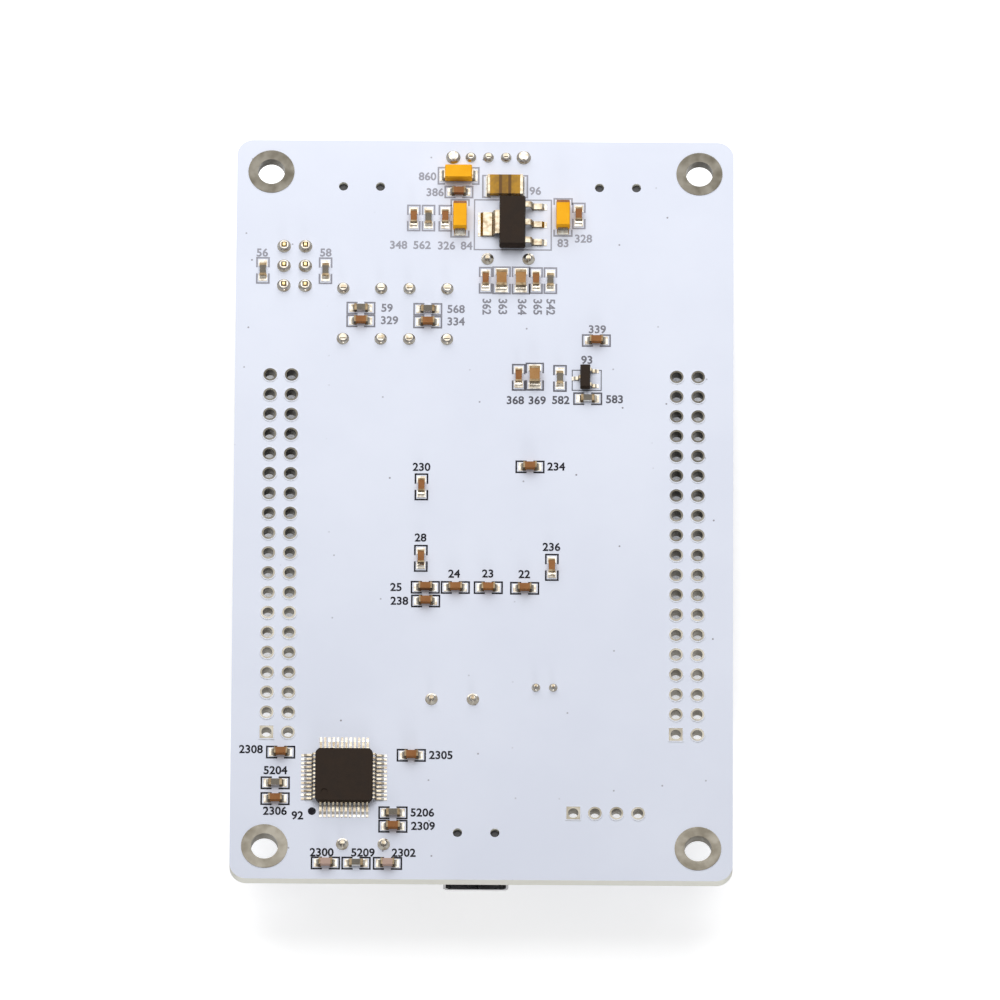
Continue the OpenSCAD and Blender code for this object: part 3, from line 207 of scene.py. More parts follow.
class NodeSheet:
    """A new material whose nodes are added and joined by name.

    Args:
        name: Name of the material.
    """

    def __init__(self, name: str) -> None:
        """Makes the material with its plain shader."""
        self.material = bpy.data.materials.new(name)
        self.material.use_nodes = True
        self.tree = self.material.node_tree
        self.shader = self.tree.nodes["Principled BSDF"]
        self.places = self.tree.nodes.new("ShaderNodeTexCoord")
        self.here = self.places.outputs["Object"]

    def link(self, source: NodeSocket, target: NodeSocket) -> None:
        """Joins an output to an input."""
        self.tree.links.new(source, target)

    def feed(self, socket: str, source: NodeSocket) -> None:
        """Joins an output to the shader's named input."""
        self.link(source, self.shader.inputs[socket])

    def plain(self, **values: float | Colour) -> None:
        """Sets values that are the same all over on the shader's own sockets.

        Args:
            **values: Socket names, with underscores for spaces, and their values.
        """
        for name, value in values.items():
            socket = self.shader.inputs[name.replace("_", " ")]
            socket.default_value = (*value, 1.0) if isinstance(value, tuple) else value

    def centred(self, centre: Vector) -> NodeSocket:
        """Returns Object coordinates from another origin.

        Args:
            centre: The origin.
        """
        node = self.tree.nodes.new("ShaderNodeMapping")
        node.vector_type = "TEXTURE"
        node.inputs["Location"].default_value = centre
        self.link(self.here, node.inputs["Vector"])
        return node.outputs["Vector"]

    def stretched(self, scale: tuple[float, float, float]) -> NodeSocket:
        """Returns Object coordinates scaled along each axis.

        Args:
            scale: The factors along X, Y and Z.
        """
        node = self.tree.nodes.new("ShaderNodeMapping")
        node.inputs["Scale"].default_value = scale
        self.link(self.here, node.inputs["Vector"])
        return node.outputs["Vector"]

    def part(self, vector: NodeSocket, axis: Axis) -> NodeSocket:
        """Returns one coordinate of a vector."""
        node = self.tree.nodes.new("ShaderNodeSeparateXYZ")
        self.link(vector, node.inputs["Vector"])
        return node.outputs[axis.value]

    def lumps(self, size: float, detail: float = 3.0,
              where: NodeSocket | None = None) -> NodeSocket:
        """Returns soft noise.

        Args:
            size: Size of its lumps.
            detail: Octaves of finer noise on them.
            where: Coordinates to read, or None for Object coordinates.
        """
        node = self.tree.nodes.new("ShaderNodeTexNoise")
        node.inputs["Scale"].default_value = 1 / size
        node.inputs["Detail"].default_value = detail
        self.link(where or self.here, node.inputs["Vector"])
        return node.outputs["Fac"]

    def cells(self, size: float, output: str = "Distance") -> NodeSocket:
        """Returns the distance to, or the colour of, points scattered over the plane of X and Y.

        Args:
            size: Spacing of the points.
            output: Name of the output.
        """
        node = self.tree.nodes.new("ShaderNodeTexVoronoi")
        node.voronoi_dimensions = "2D"
        node.inputs["Scale"].default_value = 1 / size
        self.link(self.here, node.inputs["Vector"])
        return node.outputs[output]

    def sum(self, operation: str, a: NodeSocket,
            b: NodeSocket | float = 0.0) -> NodeSocket:
        """Returns one sum of two values.

        Args:
            operation: Blender's name for the sum.
            a: The first value.
            b: The second value.
        """
        node = self.tree.nodes.new("ShaderNodeMath")
        node.operation = operation
        self.link(a, node.inputs[0])
        if isinstance(b, (int, float)):
            node.inputs[1].default_value = b
        else:
            self.link(b, node.inputs[1])
        return node.outputs[0]

    def spread(self, value: NodeSocket, low: float, high: float,
               to_low: float = 0.0, to_high: float = 1.0) -> NodeSocket:
        """Returns a value moved from one range to another, and held inside it.

        Args:
            value: The value.
            low: What becomes to_low.
            high: What becomes to_high.
            to_low: The new range's start.
            to_high: The new range's end.
        """
        node = self.tree.nodes.new("ShaderNodeMapRange")
        for name, end in (("From Min", low), ("From Max", high), ("To Min", to_low), ("To Max", to_high)):
            node.inputs[name].default_value = end
        self.link(value, node.inputs["Value"])
        return node.outputs["Result"]

    def blend(self, share: NodeSocket, a: Colour | NodeSocket,
              b: Colour | NodeSocket) -> NodeSocket:
        """Returns a colour between two colours.

        Args:
            share: 0 for the first colour and 1 for the second.
            a: The first colour.
            b: The second colour.
        """
        node = self.tree.nodes.new("ShaderNodeMix")
        node.data_type = "RGBA"
        self.link(share, node.inputs["Factor"])
        for socket, colour in ((node.inputs[6], a), (node.inputs[7], b)):
            if isinstance(colour, tuple):
                socket.default_value = (*colour, 1.0)
            else:
                self.link(colour, socket)
        return node.outputs[2]

    def dent(self, height: NodeSocket, depth: float) -> None:
        """Gives the surface a bump.

        Args:
            height: The bump's height, from 0 to 1.
            depth: What a height of 1 stands for.
        """
        node = self.tree.nodes.new("ShaderNodeBump")
        node.inputs["Distance"].default_value = depth
        self.link(height, node.inputs["Height"])
        self.feed("Normal", node.outputs["Normal"])


def seen_by_eye(tree: bpy.types.NodeTree) -> NodeSocket:
    """Returns 1 where the camera, a gloss or glass sees a thing, and 0 where it only gives light.

    Args:
        tree: The nodes to add to.
    """
    path = tree.nodes.new("ShaderNodeLightPath")
    seen = path.outputs["Is Camera Ray"]
    for ray in ("Is Glossy Ray", "Is Transmission Ray"):
        either = tree.nodes.new("ShaderNodeMath")
        either.operation = "MAXIMUM"
        tree.links.new(seen, either.inputs[0])
        tree.links.new(path.outputs[ray], either.inputs[1])
        seen = either.outputs[0]
    return seen


@dataclass(frozen=True)
class Finish:
    """A finish that a record's material slot stands for.

    Attributes:
        name: Name of the finish.
    """

    name: str

    def mix(self) -> Material:
        """Makes the material."""
        raise NotImplementedError


@dataclass(frozen=True)
class MaskFinish(Finish):
    """White solder mask over glass laminate, with the bare laminate at edges and unplated holes.

    Attributes:
        mask: Colour of the mask.
        cloudy: Colour of the mask where it lies thinner.
        laminate: Colour of the laminate's cut edge.
        resin: Colour of the resin between its glass layers.
        speck: Colour of the specks of dirt.
        cloud: Size of the thin places.
        layer: Thickness of a layer of glass.
        speck_spacing: Distance between specks.
        speck_radius: A speck's inner and outer radius, as shares of their spacing.
        speck_share: Share of the places that hold a speck.
        edge_rough: Roughness of the cut edge.
        face_rough: Roughness of the mask.
        shine: Specular level.
    """

    mask: Colour = (0.791, 0.826, 0.932)
    cloudy: Colour = (0.76, 0.795, 0.904)
    laminate: Colour = (0.95, 0.945, 0.89)
    resin: Colour = (0.87, 0.86, 0.77)
    speck: Colour = (0.2, 0.18, 0.2)
    cloud: float = 14 * MM
    layer: float = 0.2 * MM
    speck_spacing: float = 5.5 * MM
    speck_radius: tuple[float, float] = (0.012, 0.026)
    speck_share: float = 0.42
    edge_rough: float = 0.75
    face_rough: float = 0.36
    shine: float = 0.05

    def mix(self) -> Material:
        """Makes the material."""
        sheet = NodeSheet(self.name)
        cloud = sheet.spread(sheet.lumps(self.cloud, 4), 0.35, 0.65)
        face = sheet.blend(cloud, self.mask, self.cloudy)
        near = sheet.spread(sheet.cells(self.speck_spacing), *self.speck_radius, 1, 0)
        chosen = sheet.part(sheet.cells(self.speck_spacing, "Color"), Axis.X)
        speck = sheet.sum("MULTIPLY", near, sheet.spread(chosen, 1 - self.speck_share, 1))
        face = sheet.blend(speck, face, self.speck)
        layers = sheet.tree.nodes.new("ShaderNodeTexWave")
        layers.bands_direction = "Z"
        layers.inputs["Scale"].default_value = 0.32 / self.layer
        layers.inputs["Distortion"].default_value = 1.5
        sheet.link(sheet.here, layers.inputs["Vector"])
        edge = sheet.blend(layers.outputs["Fac"], self.laminate, self.resin)
        upright = sheet.sum("ABSOLUTE", sheet.part(sheet.places.outputs["Normal"], Axis.Z))
        flat = sheet.spread(upright, 0.4, 0.6)
        sheet.feed("Base Color", sheet.blend(flat, edge, face))
        sheet.feed("Roughness", sheet.spread(flat, 0, 1, self.edge_rough, self.face_rough))
        sheet.plain(Specular_IOR_Level=self.shine)
        fine = sheet.sum("MULTIPLY", sheet.lumps(0.25 * MM, 2), 0.35)
        sheet.dent(sheet.sum("ADD", sheet.lumps(1.6 * MM, 2), fine), 0.006 * MM)
        return sheet.material


@dataclass(frozen=True)
class MetalFinish(Finish):
    """Plated or soldered metal, with tarnish in patches and a fine grain.

    Attributes:
        bright: Colour of the clean metal.
        tarnish: Colour of the tarnish.
        smooth: Roughness of the clean metal.
        rough: Roughness of the tarnish.
        patch: Size of the patches of tarnish.
        grain: Size of the grain.
        depth: Depth of the grain.
        drawn: How the grain is squeezed along X, Y and Z, for drawn or brushed metal.
    """

    bright: Colour
    tarnish: Colour
    smooth: float
    rough: float
    patch: float = 0.8 * MM
    grain: float = 0.08 * MM
    depth: float = 0.004 * MM
    drawn: tuple[float, float, float] = (1, 1, 1)

    def mix(self) -> Material:
        """Makes the material."""
        sheet = NodeSheet(self.name)
        patch = sheet.spread(sheet.lumps(self.patch, 4), 0.38, 0.66)
        sheet.feed("Base Color", self.colour(sheet, patch))
        sheet.feed("Roughness", sheet.spread(patch, 0, 1, self.smooth, self.rough))
        sheet.plain(Metallic=1.0)
        sheet.dent(sheet.lumps(self.grain, 3, sheet.stretched(self.drawn)), self.depth)
        return sheet.material

    def colour(self, sheet: NodeSheet, patch: NodeSocket) -> NodeSocket:
        """Returns the metal's colour.

        Args:
            sheet: The material's nodes.
            patch: Share of tarnish.
        """
        return sheet.blend(patch, self.bright, self.tarnish)


@dataclass(frozen=True)
class LandFinish(MetalFinish):
    """Bare plated lands with painted shade: darkened in a step between y = -13 and 3 mm towards +Y and below
    y = -40 mm, and lightened a little again above y = 39 mm.

    Attributes:
        painted_light_steps: Each step of painted shade and light along Y: its start, its end, and the share
            of the colour before and after it.
    """

    # Painted light: shares below 1 paint shade on the lands, and shares above 1 paint them lighter.
    painted_light_steps: tuple[tuple[float, float, float, float], ...] = (
        (-40.3 * MM, -39.9 * MM, 0.72, 1), (-13 * MM, 3 * MM, 1, 0.38), (36 * MM, 39 * MM, 1, 1.22),
    )

    def colour(self, sheet: NodeSheet, patch: NodeSocket) -> NodeSocket:
        """Returns the metal's colour.

        Args:
            sheet: The material's nodes.
            patch: Share of tarnish.
        """
        # Painted shade and light: the metal's colour is darkened and lightened in steps along Y, for how
        # light falls on the lands.
        along = sheet.part(sheet.here, Axis.Y)
        left, *others = (sheet.spread(along, *stretch) for stretch in self.painted_light_steps)
        for other in others:
            left = sheet.sum("MULTIPLY", left, other)
        return sheet.blend(left, BLACK, super().colour(sheet, patch))


@dataclass(frozen=True)
class MouldedFinish(Finish):
    """Moulded plastic or epoxy with a fine spark-eroded grain.

    Attributes:
        body: Colour of the moulding.
        filler: Colour of its filler and dust.
        smooth: Lowest roughness.
        rough: Highest roughness.
        grain: Size of the grain.
        depth: Depth of the grain.
        shine: Specular level.
    """

    body: Colour
    filler: Colour
    smooth: float = 0.45
    rough: float = 0.62
    grain: float = 0.09 * MM
    depth: float = 0.006 * MM
    shine: float = 0.4

    def mix(self) -> Material:
        """Makes the material."""
        sheet = NodeSheet(self.name)
        cloud = sheet.lumps(1.4 * MM, 4)
        grit = sheet.lumps(self.grain, 2)
        both = sheet.sum("ADD", sheet.sum("MULTIPLY", cloud, 0.5), sheet.sum("MULTIPLY", grit, 0.5))
        share = sheet.spread(both, 0.4, 0.62)
        sheet.feed("Base Color", self.colour(sheet, share))
        sheet.feed("Roughness", sheet.spread(share, 0, 1, self.smooth, self.rough))
        sheet.plain(Specular_IOR_Level=self.shine)
        sheet.dent(grit, self.depth)
        return sheet.material

    def colour(self, sheet: NodeSheet, share: NodeSocket) -> NodeSocket:
        """Returns the moulding's colour.

        Args:
            sheet: The material's nodes.
            share: Share of filler.
        """
        return sheet.blend(share, self.body, self.filler)


@dataclass(frozen=True)
class CeramicFinish(MouldedFinish):
    """Sintered ceramic, of a paler batch on the parts next to the board's lower edge.

    Attributes:
        pale: Colour of the paler batch.
        pale_y: The parts below this are of the paler batch.
    """

    pale: Colour = (0.48, 0.33, 0.27)
    pale_y: float = -43.6 * MM

    def colour(self, sheet: NodeSheet, share: NodeSocket) -> NodeSocket:
        """Returns the ceramic's colour.

        Args:
            sheet: The material's nodes.
            share: Share of filler.
        """
        above = sheet.spread(sheet.part(sheet.here, Axis.Y), self.pale_y - 0.1 * MM, self.pale_y + 0.1 * MM)
        return sheet.blend(above, self.pale, super().colour(sheet, share))


@dataclass(frozen=True)
class FuseFinish(Finish):
    """Translucent laminate, golden at its ends and olive in its middle, with two darker marks.

    Attributes:
        gold: Colour of its ends.
        olive: Colour of its middle.
        mark: Colour of the marks.
        mark_at: Distance of each mark from the middle.
        mark_width: Width of a mark.
        gold_from: Distance from the middle at which it starts to turn golden.
        gold_at: Distance at which it is golden.
        roughness: Its lowest and highest roughness.
        shine: Specular level.
    """

    gold: Colour = (0.46, 0.235, 0.013)
    olive: Colour = (0.26, 0.132, 0.011)
    mark: Colour = (0.12, 0.055, 0.009)
    mark_at: float = 0.55 * MM
    mark_width: float = 0.4 * MM
    gold_from: float = 0.3 * MM
    gold_at: float = 1.5 * MM
    roughness: tuple[float, float] = (0.4, 0.52)
    shine: float = 0.2

    def mix(self) -> Material:
        """Makes the material."""
        sheet = NodeSheet(self.name)
        low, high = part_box("resettable_fuse_body")
        across = sheet.sum("ABSOLUTE", sheet.part(sheet.centred((low + high) / 2), Axis.X))
        off = sheet.sum("ABSOLUTE", sheet.sum("SUBTRACT", across, self.mark_at))
        mark = sheet.spread(off, self.mark_width * 0.3, self.mark_width * 0.6, 1, 0)
        cloud = sheet.spread(sheet.lumps(0.7 * MM, 4), 0.3, 0.7)
        along = sheet.spread(across, self.gold_from, self.gold_at)
        end = sheet.sum("ADD", along, sheet.sum("SUBTRACT", cloud, 0.5))
        base = sheet.blend(sheet.spread(end, 0, 1), self.olive, self.gold)
        sheet.feed("Base Color", sheet.blend(mark, base, self.mark))
        sheet.feed("Roughness", sheet.spread(cloud, 0, 1, *self.roughness))
        sheet.plain(Specular_IOR_Level=self.shine)
        sheet.dent(sheet.lumps(0.12 * MM, 2), 0.004 * MM)
        return sheet.material


@dataclass(frozen=True)
class InkFinish(Finish):
    """Printed ink, darker at the lower end along Y and greyer towards +Y.

    Attributes:
        thick: Colour at the lower end along Y.
        thin: Greyer colour towards +Y.
        from_y: Where the colour starts to turn greyer.
        to_y: Where it is fully greyer.
        patchy: How far a patch shifts between the two colours, as a share.
    """

    thick: Colour = (0.012, 0.011, 0.016)
    thin: Colour = (0.36, 0.36, 0.41)
    from_y: float = 6 * MM
    to_y: float = 34 * MM
    patchy: float = 0.08

    def mix(self) -> Material:
        """Makes the material."""
        sheet = NodeSheet(self.name)
        # Greyer towards +Y and darker towards -Y.
        along = sheet.spread(sheet.part(sheet.here, Axis.Y), self.from_y, self.to_y)
        patches = sheet.spread(sheet.lumps(0.3 * MM, 3), 0.3, 0.7, -self.patchy, self.patchy)
        share = sheet.sum("ADD", along, patches)
        sheet.feed("Base Color", sheet.blend(share, self.thick, self.thin))
        sheet.plain(Roughness=0.7, Specular_IOR_Level=0.08)
        sheet.dent(sheet.lumps(0.08 * MM, 2), 0.003 * MM)
        return sheet.material


@dataclass(frozen=True)
class PaperFinish(Finish):
    """The pale floor: matt white, and brighter to the eye than the light makes it, but not in a deep shade.

    Attributes:
        colour: Its colour.
        lift: Light added near the board, where the camera, a gloss or glass sees it.
        far_lift: The same beyond the lamps' reach.
        far: Distances from the board's middle between which the one turns into the other.
        reach: How far above the floor a thing still shades it.
        shaded: Open share of the sky at which the lift begins.
        open: Open share of the sky at which the lift is full.
        least: Share of the lift that is left in the deepest shade.
        shade_y: Under the board too, the lift is full below the first along Y, and not above the second.
    """

    colour: Colour = (0.82, 0.82, 0.82)
    lift: float = 0.6
    far_lift: float = 0.84
    far: tuple[float, float] = (0.1, 0.35)
    reach: float = 50 * MM
    shaded: float = 0.3
    open: float = 0.56
    least: float = 0.12
    shade_y: tuple[float, float] = (-26 * MM, 0.0)

    def mix(self) -> Material:
        """Makes the material."""
        sheet = NodeSheet(self.name)
        seen = seen_by_eye(sheet.tree)
        sheet.plain(Base_Color=self.colour, Roughness=0.9, Specular_IOR_Level=0.1, Emission_Color=WHITE)
        shade = sheet.tree.nodes.new("ShaderNodeAmbientOcclusion")
        shade.samples = 8
        shade.inputs["Distance"].default_value = self.reach
        sky = sheet.spread(shade.outputs["AO"], self.shaded, self.open, self.least, 1)
        below = sheet.spread(sheet.part(sheet.here, Axis.Y), *self.shade_y, 1, 0)
        away = sheet.tree.nodes.new("ShaderNodeVectorMath")
        away.operation = "LENGTH"
        sheet.link(sheet.here, away.inputs[0])
        lift = sheet.spread(away.outputs["Value"], *self.far, self.lift, self.far_lift)
        lift = sheet.sum("MULTIPLY", sheet.sum("MAXIMUM", sky, below), lift)
        sheet.feed("Emission Strength", sheet.sum("MULTIPLY", seen, lift))
        return sheet.material


def finishes() -> list[Finish]:
    """Returns the finishes, each under the name of the record's material slot that it is for."""
    return [
        MaskFinish("white_solder_mask"),
        LandFinish("bare_land", bright=(0.27, 0.25, 0.21), tarnish=(0.22, 0.197, 0.155),
                   smooth=0.4, rough=0.6, patch=1.6 * MM),
        MetalFinish("solder", bright=(0.42, 0.4, 0.355), tarnish=(0.25, 0.21, 0.16),
                    smooth=0.14, rough=0.28, patch=0.45 * MM, depth=0.008 * MM, grain=0.3 * MM),
        MetalFinish("tin", bright=(0.38, 0.34, 0.265), tarnish=(0.22, 0.17, 0.11),
                    smooth=0.22, rough=0.38, patch=0.7 * MM),
        # Painted reflection: the chip terminals' metal is darkened to stand in for the dark surroundings
        # that their flat tops reflect.
        MetalFinish("chip_terminal", bright=(0.17, 0.13, 0.08), tarnish=(0.11, 0.075, 0.04),
                    smooth=0.3, rough=0.45, patch=0.4 * MM),
        MetalFinish("bright_steel", bright=(0.46, 0.46, 0.465), tarnish=(0.37, 0.365, 0.355),
                    smooth=0.24, rough=0.38, patch=3 * MM, grain=0.1 * MM,
                    drawn=(1, 0.08, 0.3)),
        MetalFinish("gold", bright=(0.58, 0.44, 0.21), tarnish=(0.42, 0.3, 0.14),
                    smooth=0.2, rough=0.36),
        CeramicFinish("brown_ceramic", body=(0.3, 0.115, 0.022), filler=(0.23, 0.082, 0.015),
                      smooth=0.35, rough=0.5, grain=0.06 * MM, depth=0.002 * MM, shine=0.2),
        MouldedFinish("tan_ceramic", body=(0.42, 0.22, 0.07), filler=(0.33, 0.155, 0.042),
                      smooth=0.35, rough=0.5, grain=0.06 * MM, depth=0.002 * MM, shine=0.2),
        MouldedFinish("white_ceramic", body=(0.82, 0.81, 0.78), filler=(0.74, 0.72, 0.68),
                      smooth=0.4, rough=0.55, grain=0.05 * MM, depth=0.003 * MM),
        MouldedFinish("dark_glass", body=(0.085, 0.07, 0.05), filler=(0.14, 0.115, 0.075),
                      smooth=0.2, rough=0.3, grain=0.1 * MM, depth=0.002 * MM, shine=0.3),
        MouldedFinish("orange_epoxy", body=(0.92, 0.45, 0.008), filler=(0.87, 0.38, 0.004),
                      smooth=0.5, rough=0.65, grain=0.07 * MM, shine=0.12),
        FuseFinish("gold_laminate"),
        MouldedFinish("black_epoxy", body=(0.016, 0.009, 0.005), filler=(0.029, 0.018, 0.0115),
                      smooth=0.55, rough=0.7, shine=0.12),
        MouldedFinish("black_plastic", body=(0.014, 0.014, 0.015), filler=(0.03, 0.03, 0.032),
                      smooth=0.34, rough=0.48, grain=0.12 * MM),
        MouldedFinish("brown_laminate", body=(0.24, 0.11, 0.045), filler=(0.32, 0.17, 0.08),
                      smooth=0.5, rough=0.7, grain=0.2 * MM, depth=0.01 * MM),
        MouldedFinish("lamp_resin", body=(0.85, 0.82, 0.6), filler=(0.9, 0.88, 0.72),
                      smooth=0.08, rough=0.14, grain=0.3 * MM, depth=0.001 * MM, shine=0.6),
    ]


# ---------- modelling helpers ----------


def let_go() -> None:
    """Leaves edit mode and selects nothing."""
    if bpy.context.object and bpy.context.object.mode != "OBJECT":
        bpy.ops.object.mode_set(mode="OBJECT")
    bpy.ops.object.select_all(action="DESELECT")


def flat_sheet(length: float, width: float) -> Object:
    """Adds a flat sheet about the origin and leaves it open in edit mode, selected all over.

    Args:
        length: Its size along X.
        width: Its size along Y.
    """
    let_go()
    bpy.ops.mesh.primitive_plane_add(size=1)
    sheet = bpy.context.object
    bpy.ops.object.mode_set(mode="EDIT")
    bpy.ops.transform.resize(value=(length, width, 1))
    return sheet


def flat_disc(diameter: float, flats: int) -> Object:
    """Adds a flat disc about the origin and leaves it open in edit mode, selected all over.

    Args:
        diameter: Its diameter.
        flats: Number of flats of its rim.
    """
    let_go()
    bpy.ops.mesh.primitive_circle_add(vertices=flats, radius=diameter / 2, fill_type="NGON")
    disc = bpy.context.object
    bpy.ops.object.mode_set(mode="EDIT")
    return disc


def hollow(rim: float) -> None:
    """Takes away the face that is open in edit mode, but for a rim of this width."""
    bpy.ops.mesh.inset(thickness=rim)
    bpy.ops.mesh.delete(type="FACE")


def pick_middle(obj: Object, width: float) -> None:
    """Selects the faces in edit mode whose middles lie in a band about the Y axis, and nothing else.

    Args:
        obj: The object in edit mode.
        width: The band's width.
    """
    bpy.ops.mesh.select_mode(type="FACE")
    mesh = bmesh.from_edit_mesh(obj.data)
    for face in mesh.faces:
        face.select_set(abs(face.calc_center_median().x) < width / 2)
    mesh.select_flush(True)
    bmesh.update_edit_mesh(obj.data)


def thicken(height: float) -> None:
    """Raises all that is open in edit mode into a closed film, and leaves edit mode.

    Args:
        height: Thickness of the film.
    """
    bpy.ops.mesh.select_all(action="SELECT")
    bpy.ops.mesh.extrude_region_move(TRANSFORM_OT_translate={"value": (0, 0, height)})
    bpy.ops.mesh.select_all(action="SELECT")
    bpy.ops.mesh.remove_doubles(threshold=WELD)
    bpy.ops.mesh.normals_make_consistent(inside=False)
    bpy.ops.object.mode_set(mode="OBJECT")


@dataclass(frozen=True)
class Spot:
    """A spot on the board where a mark goes.

    Attributes:
        middle: The mark's middle.
        turn: Its turn about Z, as seen from its own side.
        side: The side of the board that it lies on.
    """

    middle: Vector
    turn: float = 0.0
    side: Side = Side.SOLDER


def stamp(pattern: Object, spots: list[Spot]) -> list[Object]:
    """Copies a mark to its spots on the board, with each place in the copy's own mesh, and removes the mark.

    Args:
        pattern: The mark about the origin, facing up.
        spots: Where the copies go.

    Returns:
        The copies.
    """
    copies = []
    for spot in spots:
        copy = pattern.copy()
        copy.data = pattern.data.copy()
        bpy.context.collection.objects.link(copy)
        over = Matrix.Rotation(0 if spot.side is Side.SOLDER else math.pi, 4, "X")
        copy.data.transform(Matrix.Translation(spot.middle) @ over @ Matrix.Rotation(spot.turn, 4, "Z"))
        copies.append(copy)
    bpy.data.objects.remove(pattern)
    return copies


def join(name: str, pieces: list[Object]) -> Object:
    """Joins pieces into one.

    Args:
        name: Its name.
        pieces: The pieces.
    """
    let_go()
    for piece in pieces:
        piece.select_set(True)
    bpy.context.view_layer.objects.active = pieces[0]
    bpy.ops.object.join()
    joined = bpy.context.object
    joined.name = joined.data.name = name
    return joined


def finish_piece(piece: Object, material: Material) -> None:
    """Dresses a new piece, lets it ride on the board and reports it.

    Args:
        piece: The piece.
        material: Its material.
    """
    piece.data.materials.clear()
    piece.data.materials.append(material)
    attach(piece, BOARD_BODY)
    LOG.info("%s: %d faces", piece.name, len(piece.data.polygons))


# ---------- printed marks ----------


@dataclass(frozen=True)
class OutlinePrint:
    """The printed outline round a two-ended part: a frame that is open in the middle of its long sides.

    Attributes:
        length: Its length over the lines.
        width: Its width over the lines.
        gap: Length of the opening in each long side.
        line: Width of a line.
    """

    length: float
    width: float
    gap: float
    line: float = 0.19 * MM

    def draw(self) -> Object:
        """Models the outline about the origin, lying along X."""
        frame = flat_sheet(self.length, self.width)
        hollow(self.line)
        for x in (-self.gap / 2, self.gap / 2):
            bpy.ops.mesh.select_all(action="SELECT")
            bpy.ops.mesh.bisect(plane_co=(x, 0, 0), plane_no=(1, 0, 0))
        pick_middle(frame, self.gap)
        bpy.ops.mesh.delete(type="FACE")
        thicken(INK)
        return frame


@dataclass
class BoxPrint:
    """A closed printed rectangle round a part on the solder side.

    Attributes:
        low: The part's lower left corner.
        high: Its upper right corner.
        margin: From the part to the rectangle: left, below, right and above.
        line: Width of its line.
    """

    low: tuple[float, float]
    high: tuple[float, float]
    margin: tuple[float, float, float, float]
    line: float

    def draw(self, level: float) -> list[Object]:
        """Models the rectangle in its place.

        Args:
            level: Height of the board's face.
        """
        left, below, right, above = self.margin
        x_low, y_low = self.low[0] - left, self.low[1] - below
        x_high, y_high = self.high[0] + right, self.high[1] + above
        box = flat_sheet(x_high - x_low, y_high - y_low)
        hollow(self.line)
        thicken(INK)
        return stamp(box, [Spot(Vector(((x_low + x_high) / 2, (y_low + y_high) / 2, level)))])


@dataclass(frozen=True)
class Label:
    """One plain number.

    Attributes:
        text: What it says.
        x: Its middle along X, in millimetres.
        y: Its middle along Y, in millimetres.
        turn: Its turn about Z, in degrees.
    """

    text: str
    x: float
    y: float
    turn: float = 0.0


@dataclass
class LabelPrint:
    """Plain numbers printed beside the parts.

    Attributes:
        height: Height of a figure.
        share: That height as a share of the font's size.
        weight: How far a stroke is thickened on each side.
        steps: Number of steps that a curve of a figure is drawn in.
        labels: What is printed, and where.
    """

    height: float = 1.02 * MM
    share: float = 0.72
    weight: float = 0.032 * MM
    steps: int = 3
    labels: list[Label] = field(default_factory=lambda: [Label(*row) for row in (
        # round the main controller
        ("230", -7.35, 5.15), ("28", -7.4, -3.9), ("236", 8.1, -5.0), ("234", 8.6, 5.3),
        ("25", -10.25, -10.25), ("238", -9.85, -12.0), ("24", -3.4, -8.5), ("23", 0.6, -8.45),
        ("22", 4.9, -8.5),
        # at the supply
        ("860", -6.9, 42.65), ("386", -6.0, 40.6), ("96", 5.95, 40.85), ("348", -10.3, 33.75),
        ("562", -7.5, 33.75), ("326", -4.6, 33.7), ("84", -2.2, 33.7), ("83", 9.3, 34.1),
        ("328", 11.7, 34.7),
        # under the row of capacitors
        ("362", 0.2, 25.9, -90), ("363", 2.1, 25.9, -90), ("364", 4.4, 25.9, -90), ("365", 6.25, 25.9, -90),
        ("542", 7.8, 25.9, -90),
        # at the boot pins and the buttons
        ("56", -26.5, 32.65), ("58", -18.95, 32.7), ("59", -11.6, 25.6), ("329", -11.3, 24.0),
        ("568", -3.4, 25.5), ("334", -3.4, 23.9),
        # at the transistor
        ("339", 13.4, 23.0), ("93", 12.2, 19.05), ("368", 3.7, 13.8), ("369", 6.3, 13.8),
        ("582", 9.1, 13.85), ("583", 15.5, 14.0),
        # round the probe controller
        ("2308", -27.2, -31.0), ("5204", -24.3, -33.65), ("2306", -24.3, -38.8), ("92", -21.65, -39.35),
        ("2305", -4.8, -31.6), ("5206", -6.95, -38.9), ("2309", -6.85, -40.6), ("2300", -18.75, -44.0),
        ("5209", -13.9, -44.0), ("2302", -9.1, -44.0),
    )])

    def draw(self, label: Label, level: float) -> Object:
        """Models one label in its place.

        Args:
            label: The label.
            level: Height of the board's face.
        """
        let_go()
        bpy.ops.object.text_add()
        text = bpy.context.object
        text.data.body = label.text
        text.data.align_x = "CENTER"
        text.data.align_y = "CENTER"
        text.data.size = self.height / self.share
        text.data.extrude = INK / 2
        text.data.offset = self.weight
        text.data.resolution_u = self.steps
        bpy.ops.object.convert(target="MESH")
        place = Matrix.Translation((label.x * MM, label.y * MM, level + INK / 2))
        text.data.transform(place @ Matrix.Rotation(math.radians(label.turn), 4, "Z"))
        return text

    def build(self, places: BoardPlaces) -> Object:
        """Models all labels on the solder side as one piece."""
        level = places.face(Side.SOLDER)
        return join("printed_labels", [self.draw(label, level) for label in self.labels])


